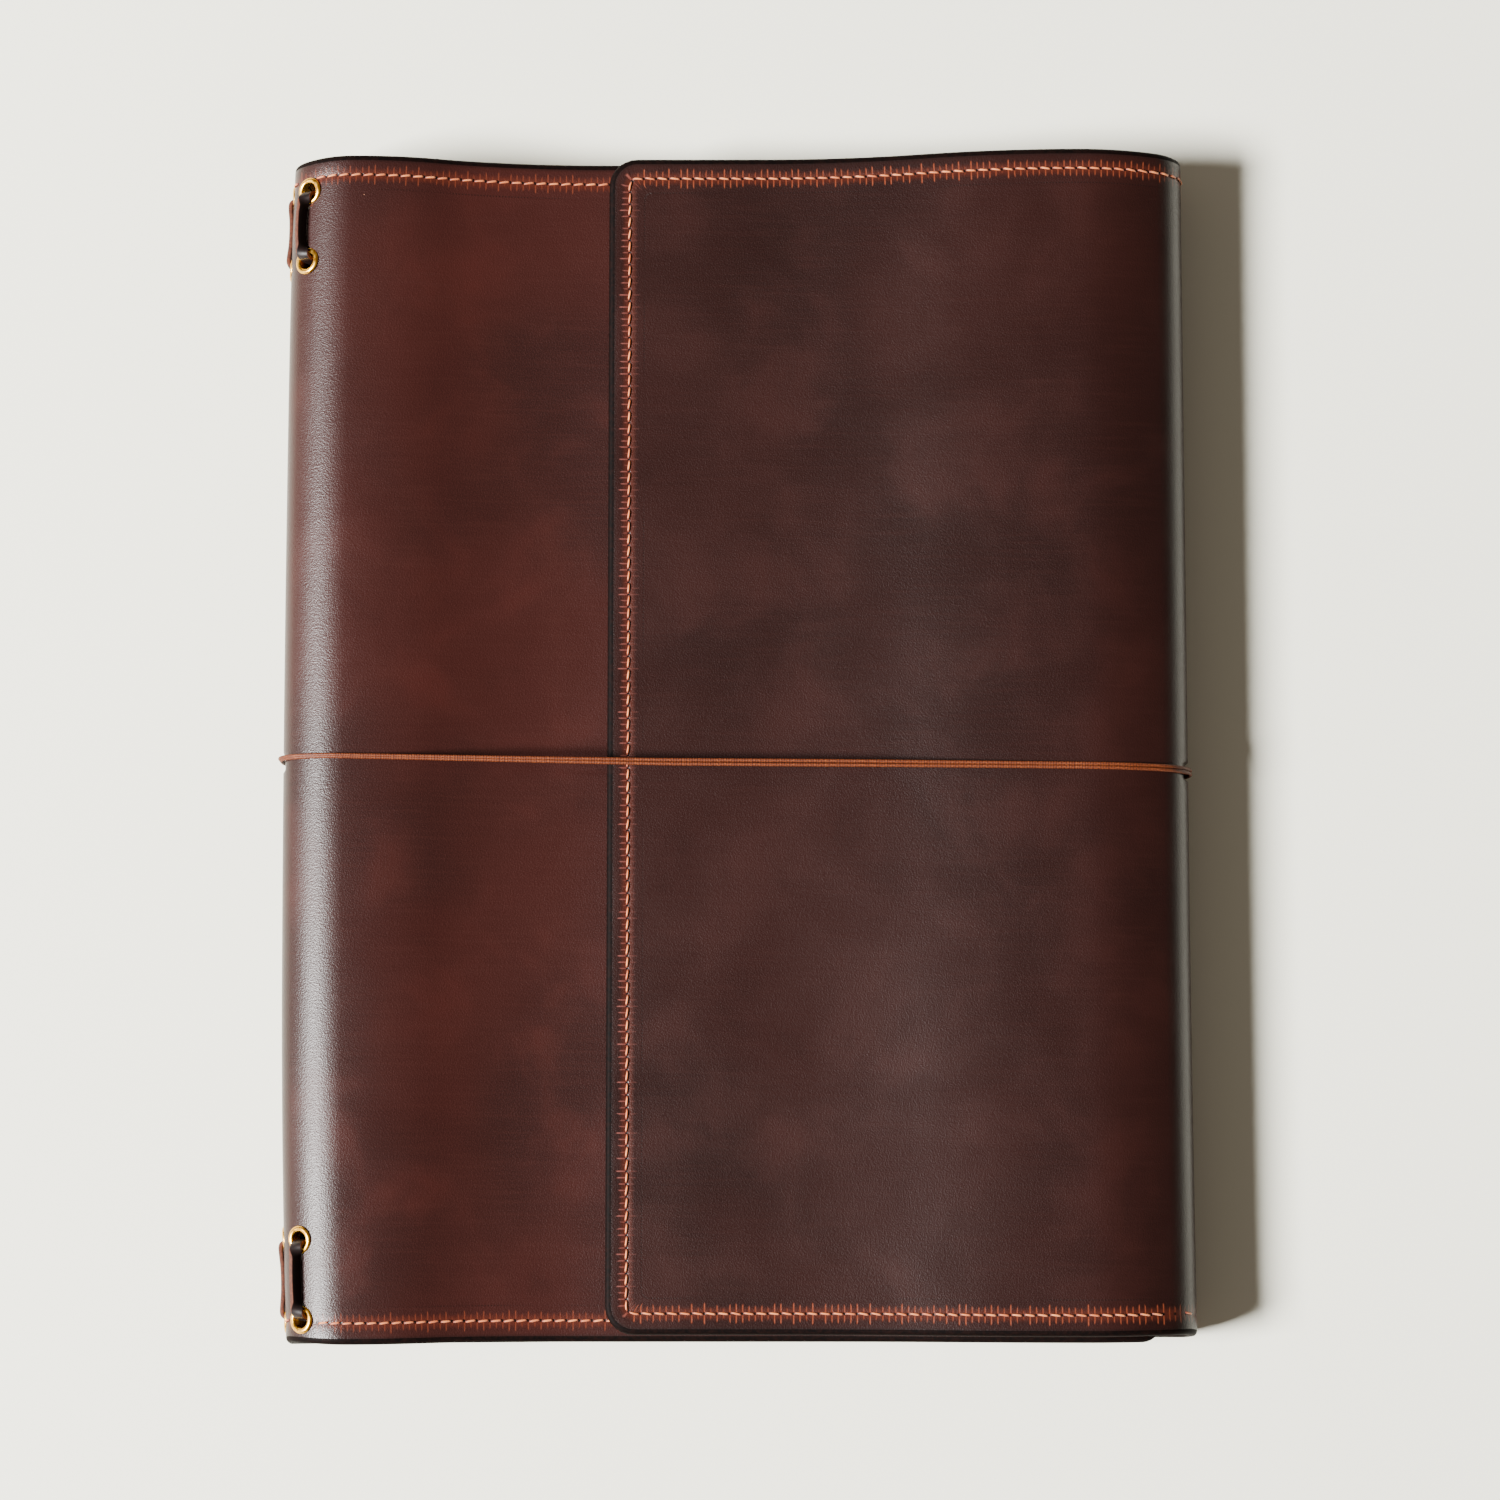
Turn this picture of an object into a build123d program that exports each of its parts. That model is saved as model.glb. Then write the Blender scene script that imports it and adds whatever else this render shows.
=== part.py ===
"""Leather notebook cover: one wrapped hide with a fore-edge flap, laced spine and elastic band.

X runs from the spine (-X) to the fore-edge (+X), Y from foot to head, and Z up from the surface
that the back cover lies on. The hide follows one line round the notebook, drawn in the XZ plane:
spine and front cover one way from the back cover's left end, fore-edge and flap the other way
from its right end. Every layer under the hide follows the same line at its own depth.
"""

from build123d import *
from collections import namedtuple
from math import atan, cos, degrees, radians, sin
import os

# ---- driving dimensions, millimetres and degrees ---------------------------------------------

hide_height = 312.8  # foot to head
hide_skew = 0.85  # the hide is wrapped askew: the flap this far up, the front cover this far down
hide_thickness = 1.6
lining_thickness = 1.2
sleeve_thickness = 0.9
bond_gap = 0.05  # glue line between hide and lining
body_gap = 0.3  # between panels that move apart
sleeve_clearance = 0.15  # round the notebook's back cover, in its sleeve

back_half_width = 105.0  # flat part of the back cover, either side of the middle
fold_radius = 14.0  # lower quarter turn of the spine and of the fore-edge
spine_wall = 3.0  # short upright stretch of the spine
crest_height = 28.8  # the hide's two high ridges, over the spine and over the fore-edge
spine_crest_reach = 17.0  # from the ridge out to the spine's wall
spine_crest_turn = 40.0  # turn of the ridge's arc, before the tighter one down to the wall
flap_crest_reach = 28.0  # from the ridge out to the fore-edge
flap_crest_turn = 20.0

dip_length = 68.0  # from the spine's crest down to the level middle of the front cover
dip_depth = 7.8
dip_crest_share = 1 / 3  # share of the dip's two radii that its crest has
crest_to_hinge = 2.87  # turn of the crest arc that stays with the spine
level_length = 40.0  # level middle of the front cover
rise_length = 85.0  # from the level middle up to the fore-edge crest
rise_height = 4.7
front_tail = 19.94  # turn of the front cover beyond the fore-edge crest
flap_reach = 40.3  # level part of the flap, to its free edge
front_corner_radius = 6.0
flap_corner_radius = 7.5

seam_inset = 5.5
seam_width = 0.6
seam_depth = 0.6
seam_corner_radius = 2.5

front_sleeve_mouth_x = -12.0
back_sleeve_mouth_x = 16.0
sleeve_half_height = 152.0
pocket_half_height = 149.5
pocket_end_x = 103.9

eyelet_bore = 2.2
eyelet_barrel = 2.5
eyelet_flange = 3.65
eyelet_flange_height = 0.6
flange_round = 0.29
rolled_edge = 0.35
washer_radius = 3.5
washer_thickness = 0.5
washer_standoff = 0.45  # the washer's rim rests on the hollow inner face
eyelet_clearance = 0.05  # round the flange, where the seam stops short of it
drill_depth = 5.2  # past the inner face, which curves away
lace_spans = {"head_lace": (137.7, 19.0), "foot_lace": (-140.7, 20.5)}  # middle, eyelet pitch
shoulder_eyelet_tilt = 34.0  # of the hide under the upper eyelets, from level
lace_width = 3.3
lace_thickness = 1.2
lace_height = 1.3  # centre of the lace above the hide, between two eyelets
lace_bend = 1.6
lace_tie_clearance = 0.5  # behind the eyelets' rolled ends

notebook_left = -105.4
notebook_right = 103.4
notebook_height = 297.0
notebook_floor = 3.0
board_thickness = 1.2
pages_bottom = 5.5
pages_thickness = 10.0
pages_margin = 2.0
card_thickness = 1.0
tape_thickness = 0.3
tape_turn_in = 12.0
notebook_corner_radius = 5.0

cord_diameter = 1.0
cord_pitch = 1.1  # between the two turns
cord_y = -6.6
cord_skew = -0.5  # about Z
cord_clearance = 0.05
groove_width = 4.4
groove_depth = 1.1  # in the back cover
groove_side_depth = 0.55  # up the spine and the fore-edge
splice_length = 8.0
splice_width = 2.9

far = 400.0  # past every edge

panel_thickness = hide_thickness + bond_gap + lining_thickness
flap_over_front = panel_thickness + body_gap
front_y, flap_y = -hide_skew, hide_skew

# ---- the hide's line -------------------------------------------------------------------------

# runs are (radius, turn) for an arc and (length, 0) for a straight; inside is 1 where the inner
# face is on the left of the line's direction and -1 where it is on the right
Stretch = namedtuple("Stretch", "start heading inside runs")


def travel(point, heading, size, turn):
    """Point and heading where a straight, or an arc tangent to the heading, ends."""
    before, after = radians(heading), radians(heading + turn)
    if turn == 0:
        return (point[0] + size * cos(before), point[1] + size * sin(before)), heading
    radius = size if turn > 0 else -size
    x = point[0] + radius * (sin(after) - sin(before))
    z = point[1] - radius * (cos(after) - cos(before))
    return (x, z), heading + turn


def end_of(stretch):
    """Point and heading where a stretch's outer face ends."""
    point, heading = stretch.start, stretch.heading
    for size, turn in stretch.runs:
        point, heading = travel(point, heading, size, turn)
    return point, heading


def at_depth(stretch, depth):
    """The line that lies depth under a stretch's outer face, as a stretch of its own."""
    start, _ = travel(stretch.start, stretch.heading + 90 * stretch.inside, depth, 0)
    runs = []
    for size, turn in stretch.runs:
        convex = turn * stretch.inside > 0
        shrink = 0 if turn == 0 else (depth if convex else -depth)
        runs.append((size - shrink, turn))
    return stretch._replace(start=start, runs=runs)


def draw(stretch):
    """Draws a stretch's outer face in the line that is being built."""
    point, heading = stretch.start, stretch.heading
    for size, turn in stretch.runs:
        end, next_heading = travel(point, heading, size, turn)
        if turn == 0:
            Line(point, end)
        else:
            direction = (cos(radians(heading)), sin(radians(heading)))
            JernArc(start=point, tangent=direction, radius=size, arc_size=turn)
        point, heading = end, next_heading


def layer(stretch, depth, thickness):
    """Cross-section of a layer that lies depth under the hide's outer face."""
    outer, inner = at_depth(stretch, depth), at_depth(stretch, depth + thickness)
    with BuildSketch(Plane.XZ) as section:
        with BuildLine():
            draw(outer)
            draw(inner)
            Line(outer.start, inner.start)
            Line(end_of(outer)[0], end_of(inner)[0])
        make_face()
    return section.sketch


def s_bend(length, drop):
    """Turn and summed radius of two tangent arcs that level out at both ends."""
    turn = 2 * atan(drop / length)
    return degrees(turn), length / sin(turn)


def shoulder(reach, drop, crest_turn):
    """Radii of the two arcs of a quarter turn that spans reach and drop: crest, then side."""
    rise, level = sin(radians(crest_turn)), cos(radians(crest_turn))
    scale = rise * level - (1 - rise) * (1 - level)
    crest_arc = (reach * level - drop * (1 - rise)) / scale
    side_arc = (drop * rise - reach * (1 - level)) / scale
    return (crest_arc, crest_turn), (side_arc, 90 - crest_turn)


spine_crest, spine_side = shoulder(
    spine_crest_reach, crest_height - fold_radius - spine_wall, spine_crest_turn
)
flap_crest, fore_edge_side = shoulder(
    flap_crest_reach, crest_height - fold_radius, flap_crest_turn
)
dip_turn, dip_radii = s_bend(dip_length, dip_depth)
rise_turn, rise_radii = s_bend(rise_length, rise_height)
dip_crest = dip_radii * dip_crest_share
front_rise = rise_radii / 2

spine = Stretch(
    (-back_half_width, 0.0),
    180.0,
    -1,
    [
        (fold_radius, -90.0),
        (spine_wall, 0),
        (spine_side[0], -spine_side[1]),
        (spine_crest[0], -spine_crest[1]),
        (dip_crest, -crest_to_hinge),
    ],
)
hinge_point, hinge_heading = end_of(spine)
front = Stretch(
    hinge_point,
    hinge_heading,
    -1,
    [
        (dip_crest, crest_to_hinge - dip_turn),
        (dip_radii - dip_crest, dip_turn),
        (level_length, 0),
        (front_rise, rise_turn),
        (front_rise, -rise_turn),
        (flap_crest[0] - flap_over_front, -front_tail),
    ],
)
back = Stretch((-back_half_width, 0.0), 0.0, 1, [(2 * back_half_width, 0)])
fore_edge = Stretch((back_half_width, 0.0), 0.0, 1, [(fold_radius, 90.0), fore_edge_side])
flap_start, flap_heading = end_of(fore_edge)
flap = Stretch(
    flap_start,
    flap_heading,
    1,
    [
        flap_crest,
        (front_rise + flap_over_front, rise_turn),
        (front_rise - flap_over_front, -rise_turn),
        (flap_reach, 0),
    ],
)
front_free_x = end_of(front)[0][0]
flap_free_x = end_of(flap)[0][0]


# ---- outlines in plan ------------------------------------------------------------------------


def front_plan(inset, left, radius):
    """Plan of the front cover from left to its free end, inset all round."""
    right = front_free_x - inset
    with BuildSketch() as plan:
        with Locations(((left + right) / 2, front_y)):
            Rectangle(right - left, hide_height - 2 * inset)
        fillet(plan.vertices().group_by(Axis.X)[-1], radius)
    return plan.sketch


def flap_plan(inset, right, radius):
    """Plan of the flap from its free edge to right, inset all round."""
    left = flap_free_x + inset
    with BuildSketch() as plan:
        with Locations(((left + right) / 2, flap_y)):
            Rectangle(right - left, hide_height - 2 * inset)
        fillet(plan.vertices().group_by(Axis.X)[0], radius)
    return plan.sketch


def strip_plan(left, right, middle_y, height):
    """Plan of a straight strip along X."""
    with BuildSketch() as plan:
        with Locations(((left + right) / 2, middle_y)):
            Rectangle(right - left, height)
    return plan.sketch


def askew_plan(offset_y, height):
    """Plan of a strip along the back cover, which takes up the whole skew of the wrap."""
    half, x = height / 2, back_half_width
    low, high = front_y + offset_y, flap_y + offset_y
    with BuildSketch() as plan:
        with BuildLine():
            Polyline(
                (-x, low - half), (x, high - half), (x, high + half), (-x, low + half), close=True
            )
        make_face()
    return plan.sketch


def seam_loop_plan(plan, *ends):
    """Plan of a seam that runs round a panel's free edges, one stitch wide."""
    with BuildSketch() as loop:
        add(plan(seam_inset - seam_width / 2, *ends, seam_corner_radius + seam_width))
        add(plan(seam_inset + seam_width / 2, *ends, seam_corner_radius), mode=Mode.SUBTRACT)
    return loop.sketch


seam_rows = (hide_height / 2 - seam_inset, seam_inset - hide_height / 2)


def cut_to(section, plan):
    """Solid with a cross-section in XZ and an outline in plan."""
    with BuildPart() as piece:
        extrude(section, amount=far, both=True)
        extrude(plan, amount=far, both=True, mode=Mode.INTERSECT)
    return piece.part


def begun_later(stretch, gap):
    """A stretch whose first arc is shorter, which leaves a gap before it."""
    size, turn = stretch.runs[0]
    kept = turn - degrees(gap / size) * (1 if turn > 0 else -1)
    skipped = (size, turn - kept)
    start, heading = travel(stretch.start, stretch.heading, *skipped)
    return stretch._replace(start=start, heading=heading, runs=[(size, kept)] + stretch.runs[1:])


# ---- band, and the channel that it lies in ---------------------------------------------------

cord_radius = cord_diameter / 2
cord_floor = cord_radius + cord_clearance
skew_direction = Vector(1, 0, 0).rotate(Axis.Z, cord_skew)
band_normal = skew_direction.cross(Vector(0, 0, 1))
band_plane = Plane(origin=(0, cord_y, 0), x_dir=skew_direction, z_dir=band_normal)

side_x = back_half_width + fold_radius + cord_floor
lower_turn = fold_radius - cord_floor
crest_run = 2 * (back_half_width + fold_radius) - spine_crest_reach - flap_crest_reach

band = Stretch(
    (-side_x + lower_turn, cord_floor),
    0.0,
    1,
    [
        (2 * (side_x - lower_turn), 0),
        (lower_turn, 90.0),
        (fore_edge_side[0] + cord_floor, fore_edge_side[1]),
        (flap_crest[0] + cord_floor, flap_crest[1]),
        (crest_run, 0),
        (spine_crest[0] + cord_floor, spine_crest[1]),
        (spine_side[0] + cord_floor, spine_side[1]),
        (spine_wall, 0),
        (lower_turn, 90.0),
    ],
)

with BuildPart() as band_channel:
    with BuildSketch(band_plane):
        with Locations((0, fold_radius)):
            Rectangle(2 * far, far, align=(Align.CENTER, Align.MAX))
        inner_x, inner_radius = side_x - groove_side_depth, lower_turn - groove_side_depth
        with Locations((0, groove_depth + far / 2)):
            with BuildSketch(mode=Mode.PRIVATE) as kept:
                Rectangle(2 * inner_x, far)
                fillet(kept.vertices().group_by(Axis.Y)[0], inner_radius)
            add(kept.sketch, mode=Mode.SUBTRACT)
    extrude(amount=groove_width / 2, both=True)

with BuildPart() as elastic_closure_cord:
    for side in (-1, 1):
        turn_plane = band_plane.offset(side * cord_pitch / 2)
        with BuildLine(turn_plane) as route:
            draw(band)
        with BuildSketch(Plane(route.line @ 0, z_dir=route.line % 0)):
            Circle(cord_radius)
        sweep(path=route.wire())
elastic_closure_cord.part.label = "elastic_closure_cord"

with BuildPart() as cord_splice:
    with BuildSketch(Plane.YZ):
        with Locations((cord_y, cord_floor)):
            SlotOverall(splice_width, cord_diameter)
    extrude(amount=splice_length / 2, both=True)
cord_splice.part.label = "cord_splice"

# ---- eyelets, washers and laces along the spine ----------------------------------------------


def face_plane(spot, y):
    """Plane on the hide's outer face: X along the spine, Y round it, Z outwards."""
    (x, z), tilt = spot
    outward = (-sin(radians(tilt)), 0, cos(radians(tilt)))
    return Plane(origin=(x, y, z), x_dir=(0, 1, 0), z_dir=outward)


spine_ridge = (-back_half_width - fold_radius + spine_crest_reach, crest_height)
shoulder_point, _ = travel(spine_ridge, 180.0, spine_crest[0], shoulder_eyelet_tilt)
shoulder_spot = (shoulder_point, shoulder_eyelet_tilt)
wall_spot = ((-back_half_width - fold_radius, fold_radius + spine_wall / 2), 90.0)
eyelet_spots = (shoulder_spot, wall_spot)
eyelet_rows = [
    middle + side * pitch / 2 for middle, pitch in lace_spans.values() for side in (-1, 1)
]
eyelet_planes = [face_plane(spot, row) for spot in eyelet_spots for row in eyelet_rows]
washer_depth = panel_thickness + washer_standoff
barrel_depth = washer_depth + washer_thickness

with BuildPart() as eyelet:
    with BuildSketch(Plane.XZ) as profile:
        with Locations((eyelet_bore, 0)):
            flange_size = (eyelet_flange - eyelet_bore, eyelet_flange_height)
            Rectangle(*flange_size, align=(Align.MIN, Align.MIN))
        fillet(profile.vertices().group_by(Axis.Z)[-1], flange_round)
        with Locations((eyelet_bore, 0)):
            tail = barrel_depth + rolled_edge
            Rectangle(eyelet_barrel - eyelet_bore, tail, align=(Align.MIN, Align.MAX))
        with Locations((eyelet_bore, -barrel_depth)):
            roll = eyelet_barrel + rolled_edge - eyelet_bore
            Rectangle(roll, rolled_edge, align=(Align.MIN, Align.MAX))
    revolve(axis=Axis.Z)

with BuildPart() as spine_eyelets:
    with Locations(*eyelet_planes):
        add(eyelet.part)
spine_eyelets.part.label = "spine_eyelets"

with BuildPart() as eyelet_washers:
    with Locations(*[plane.offset(-barrel_depth) for plane in eyelet_planes]):
        Cylinder(washer_radius, washer_thickness, align=(Align.CENTER, Align.CENTER, Align.MIN))
        Cylinder(
            eyelet_barrel,
            washer_thickness,
            align=(Align.CENTER, Align.CENTER, Align.MIN),
            mode=Mode.SUBTRACT,
        )
eyelet_washers.part.label = "eyelet_washers"


def lace_loop(middle_y, pitch):
    """Lace through four eyelets: a bridge outside each pair, and a tie across inside each row."""
    leg_depth = barrel_depth + rolled_edge + lace_tie_clearance
    top = lace_height + lace_thickness / 2
    gap = pitch - lace_thickness
    with BuildPart() as loop:
        for spot in eyelet_spots:
            outside = face_plane(spot, middle_y)
            across = Plane(origin=outside.origin, x_dir=outside.x_dir, z_dir=-outside.y_dir)
            with BuildSketch(across) as bridge:
                with Locations((0, (top - leg_depth) / 2)):
                    Rectangle(gap + 2 * lace_thickness, top + leg_depth)
                fillet(bridge.vertices().group_by(Axis.Y)[-1], lace_bend)
                with Locations((0, (top - leg_depth) / 2 - lace_thickness)):
                    Rectangle(gap, top + leg_depth, mode=Mode.SUBTRACT)
            extrude(amount=lace_width / 2, both=True)
        tie_ends = [face_plane(spot, 0).offset(-leg_depth).origin for spot in eyelet_spots]
        for row in (middle_y - pitch / 2, middle_y + pitch / 2):
            with BuildSketch(Plane.XZ.offset(-row)):
                with BuildLine():
                    Line(*[(end.X, end.Z) for end in tie_ends])
                trace(line_width=lace_thickness)
            extrude(amount=lace_width / 2, both=True)
    return loop.part


laces = {}
for name, span in lace_spans.items():
    laces[name] = lace_loop(*span)
    laces[name].label = name

# ---- hide ------------------------------------------------------------------------------------

spine_panel = begun_later(spine, body_gap)
front_panel = begun_later(front, body_gap)
fore_edge_panel = begun_later(fore_edge, body_gap)
flap_panel = begun_later(flap, body_gap)
spine_strip = strip_plan(-far, 0, front_y, hide_height)
fore_edge_strip = strip_plan(0, far, flap_y, hide_height)


def drill_eyelets(piece):
    """The same piece with a hole for each eyelet's barrel."""
    with BuildPart() as drilled:
        add(piece)
        with Locations(*[plane.offset(eyelet_flange_height) for plane in eyelet_planes]):
            Hole(eyelet_barrel, depth=drill_depth)
    return drilled.part


with BuildPart() as spine_leather:
    add(drill_eyelets(cut_to(layer(spine_panel, 0, hide_thickness), spine_strip)))
    add(band_channel.part, mode=Mode.SUBTRACT)
spine_leather.part.label = "spine_leather"

lining_depth = hide_thickness + bond_gap
with BuildPart() as spine_lining:
    add(drill_eyelets(cut_to(layer(spine_panel, lining_depth, lining_thickness), spine_strip)))
spine_lining.part.label = "spine_lining"

back_outline = askew_plan(0, hide_height)
with BuildPart() as back_cover_leather:
    add(cut_to(layer(back, 0, hide_thickness), back_outline))
    add(band_channel.part, mode=Mode.SUBTRACT)
back_cover_leather.part.label = "back_cover_leather"

with BuildPart() as back_cover_lining:
    add(cut_to(layer(back, lining_depth, lining_thickness), back_outline))
back_cover_lining.part.label = "back_cover_lining"

front_outline = front_plan(0, -far, front_corner_radius)
with BuildPart() as front_cover_leather:
    add(cut_to(layer(front_panel, 0, hide_thickness), front_outline))
front_cover_leather.part.label = "front_cover_leather"

with BuildPart() as front_cover_lining:
    add(cut_to(layer(front_panel, lining_depth, lining_thickness), front_outline))
front_cover_lining.part.label = "front_cover_lining"

with BuildPart() as fore_edge_leather:
    add(cut_to(layer(fore_edge_panel, 0, hide_thickness), fore_edge_strip))
    add(band_channel.part, mode=Mode.SUBTRACT)
fore_edge_leather.part.label = "fore_edge_leather"

with BuildPart() as fore_edge_lining:
    add(cut_to(layer(fore_edge_panel, lining_depth, lining_thickness), fore_edge_strip))
fore_edge_lining.part.label = "fore_edge_lining"

flap_outline = flap_plan(0, far, flap_corner_radius)
with BuildPart() as flap_leather:
    add(cut_to(layer(flap_panel, 0, hide_thickness), flap_outline))
flap_leather.part.label = "flap_leather"

with BuildPart() as flap_lining:
    add(cut_to(layer(flap_panel, lining_depth, lining_thickness), flap_outline))
flap_lining.part.label = "flap_lining"

# ---- sleeves inside the covers ---------------------------------------------------------------

sleeve_depth = panel_thickness + bond_gap
with BuildPart() as front_sleeve:
    sleeve_outline = front_plan(0, front_sleeve_mouth_x, front_corner_radius)
    add(cut_to(layer(front_panel, sleeve_depth, sleeve_thickness), sleeve_outline))
front_sleeve.part.label = "front_sleeve"

sleeve_roof = notebook_floor + board_thickness + sleeve_clearance
with BuildPart() as back_sleeve:
    with BuildSketch(Plane.XY.offset(sleeve_depth)):
        with Locations(((back_sleeve_mouth_x + back_half_width) / 2, 0)):
            Rectangle(back_half_width - back_sleeve_mouth_x, 2 * sleeve_half_height)
    extrude(amount=sleeve_roof + sleeve_thickness - sleeve_depth)
    with BuildSketch(Plane.XY.offset(sleeve_depth)):
        with Locations((pocket_end_x / 2, 0)):
            Rectangle(pocket_end_x, 2 * pocket_half_height)
    extrude(amount=sleeve_roof - sleeve_depth, mode=Mode.SUBTRACT)
back_sleeve.part.label = "back_sleeve"

# ---- seams, one thread of even width for each run of stitches --------------------------------

with BuildPart() as front_seam_thread:
    front_loop = seam_loop_plan(front_plan, -far)
    add(cut_to(layer(front_panel, 0, seam_depth), front_loop))
front_seam_thread.part.label = "front_seam_thread"

with BuildPart() as flap_seam_thread:
    flap_loop = seam_loop_plan(flap_plan, far)
    add(cut_to(layer(flap_panel, 0, seam_depth), flap_loop))
flap_seam_thread.part.label = "flap_seam_thread"

with BuildPart() as fore_edge_seam_thread:
    for row in seam_rows:
        row_plan = strip_plan(0, far, flap_y + row, seam_width)
        add(cut_to(layer(fore_edge_panel, 0, seam_depth), row_plan))
fore_edge_seam_thread.part.label = "fore_edge_seam_thread"

with BuildPart() as spine_seam_thread:
    for row in seam_rows:
        row_plan = strip_plan(-far, 0, front_y + row, seam_width)
        add(cut_to(layer(spine_panel, 0, seam_depth), row_plan))
    with Locations(*[plane.offset(eyelet_flange_height) for plane in eyelet_planes]):
        Hole(eyelet_flange + eyelet_clearance, depth=drill_depth)
spine_seam_thread.part.label = "spine_seam_thread"

with BuildPart() as back_seam_thread:
    for row in seam_rows:
        add(cut_to(layer(back, 0, seam_depth), askew_plan(row, seam_width)))
back_seam_thread.part.label = "back_seam_thread"

# ---- notebook --------------------------------------------------------------------------------

notebook_middle = (notebook_left + notebook_right) / 2
notebook_width = notebook_right - notebook_left
cover_left = notebook_left + tape_thickness
notebook_top = pages_bottom + pages_thickness + bond_gap + card_thickness


def notebook_sheet(bottom, thickness, width, height):
    """Board, card or block of pages, with its fore-edge corners rounded."""
    with BuildPart() as sheet:
        with BuildSketch(Plane.XY.offset(bottom)) as outline:
            with Locations((cover_left + width / 2, 0)):
                Rectangle(width, height)
            fillet(outline.vertices().group_by(Axis.X)[-1], notebook_corner_radius)
        extrude(amount=thickness)
    return sheet.part


cover_width = notebook_right - cover_left
page_size = (cover_width - pages_margin, notebook_height - 2 * pages_margin)
cards = {
    "notebook_back_cover": (notebook_floor, board_thickness, cover_width, notebook_height),
    "notebook_pages": (pages_bottom, pages_thickness, *page_size),
    "notebook_front_cover": (
        notebook_top - card_thickness,
        card_thickness,
        cover_width,
        notebook_height,
    ),
}
notebook_sheets = {name: notebook_sheet(*size) for name, size in cards.items()}
for name, sheet in notebook_sheets.items():
    sheet.label = name

with BuildPart() as notebook_spine_tape:
    with BuildSketch(Plane.YZ.offset(notebook_left)):
        with Locations((0, (notebook_floor + notebook_top) / 2)):
            Rectangle(notebook_height, notebook_top - notebook_floor)
    extrude(amount=tape_thickness)
    with BuildSketch(Plane.XY.offset(notebook_top)):
        with Locations((notebook_left + tape_turn_in / 2, 0)):
            Rectangle(tape_turn_in, notebook_height)
    extrude(amount=tape_thickness)
notebook_spine_tape.part.label = "notebook_spine_tape"

# ---- files -----------------------------------------------------------------------------------

builders = [
    spine_leather,
    spine_lining,
    back_cover_leather,
    back_cover_lining,
    back_sleeve,
    spine_seam_thread,
    back_seam_thread,
    spine_eyelets,
    eyelet_washers,
    notebook_spine_tape,
    front_cover_leather,
    front_cover_lining,
    front_sleeve,
    front_seam_thread,
    fore_edge_leather,
    fore_edge_lining,
    fore_edge_seam_thread,
    flap_leather,
    flap_lining,
    flap_seam_thread,
    elastic_closure_cord,
    cord_splice,
]
finished = [builder.part for builder in builders]
finished += list(laces.values()) + list(notebook_sheets.values())

os.makedirs("parts", exist_ok=True)
for piece in finished:
    export_step(piece, f"parts/{piece.label}.step")
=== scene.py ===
"""Leather notebook cover: the looks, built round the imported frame.

The hide is one line in the XZ plane, followed from the middle of the back cover. The left branch
runs round the spine to the front cover, the right one round the fore-edge to the flap. A place on
the hide is (run, y, depth): millimetres along the branch, millimetres from foot to head, and
millimetres under the outer face.
"""

from math import asin, atan, ceil, cos, degrees, pi, radians, sin

import bmesh
import bpy
import numpy as np
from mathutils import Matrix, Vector


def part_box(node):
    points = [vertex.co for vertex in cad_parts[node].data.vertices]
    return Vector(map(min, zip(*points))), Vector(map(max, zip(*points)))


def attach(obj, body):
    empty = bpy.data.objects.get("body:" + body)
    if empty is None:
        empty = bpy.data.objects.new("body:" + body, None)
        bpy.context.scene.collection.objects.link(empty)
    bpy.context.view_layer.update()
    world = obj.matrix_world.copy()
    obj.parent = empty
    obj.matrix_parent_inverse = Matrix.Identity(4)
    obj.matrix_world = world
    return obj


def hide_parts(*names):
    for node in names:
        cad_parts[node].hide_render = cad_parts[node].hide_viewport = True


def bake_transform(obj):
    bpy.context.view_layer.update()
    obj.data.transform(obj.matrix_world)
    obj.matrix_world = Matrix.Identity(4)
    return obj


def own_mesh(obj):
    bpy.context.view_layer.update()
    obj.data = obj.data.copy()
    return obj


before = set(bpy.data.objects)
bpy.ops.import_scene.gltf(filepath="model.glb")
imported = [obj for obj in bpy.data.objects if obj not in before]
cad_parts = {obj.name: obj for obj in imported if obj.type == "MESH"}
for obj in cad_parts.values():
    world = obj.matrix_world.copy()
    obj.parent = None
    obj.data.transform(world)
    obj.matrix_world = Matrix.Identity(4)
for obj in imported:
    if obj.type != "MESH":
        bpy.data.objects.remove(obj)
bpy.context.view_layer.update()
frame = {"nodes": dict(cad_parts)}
rng = np.random.default_rng(11)

MM = 0.001

# ---- the hide, millimetres and degrees --------------------------------------------------------

hide_height = 312.8
hide_skew = 0.85
hide_thickness = 1.6
panel_thickness = 2.85
back_half_width = 105.0
fold_radius = 14.0
spine_wall = 3.0
crest_height = 28.8
spine_crest_reach, spine_crest_turn = 17.0, 40.0
flap_crest_reach, flap_crest_turn = 28.0, 20.0
dip_length, dip_depth, dip_crest_share = 68.0, 7.8, 1 / 3
level_length = 40.0
rise_length, rise_height = 85.0, 4.7
front_tail = 19.94
flap_reach = 40.3
flap_over_front = 3.15
front_corner, flap_corner = 6.0, 7.5
crest_bow = 0.75  # the head and foot edges stand this much further out on the ridges
flap_head_dip, flap_head_rise = 0.8, 1.3  # the flap's head edge dips, and rises to its ridge
flap_foot_dip = 0.6

seam_inset = 5.5
stitch_pitch = 3.3
thread_radius = 0.26
seam_corner = 2.0

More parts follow.
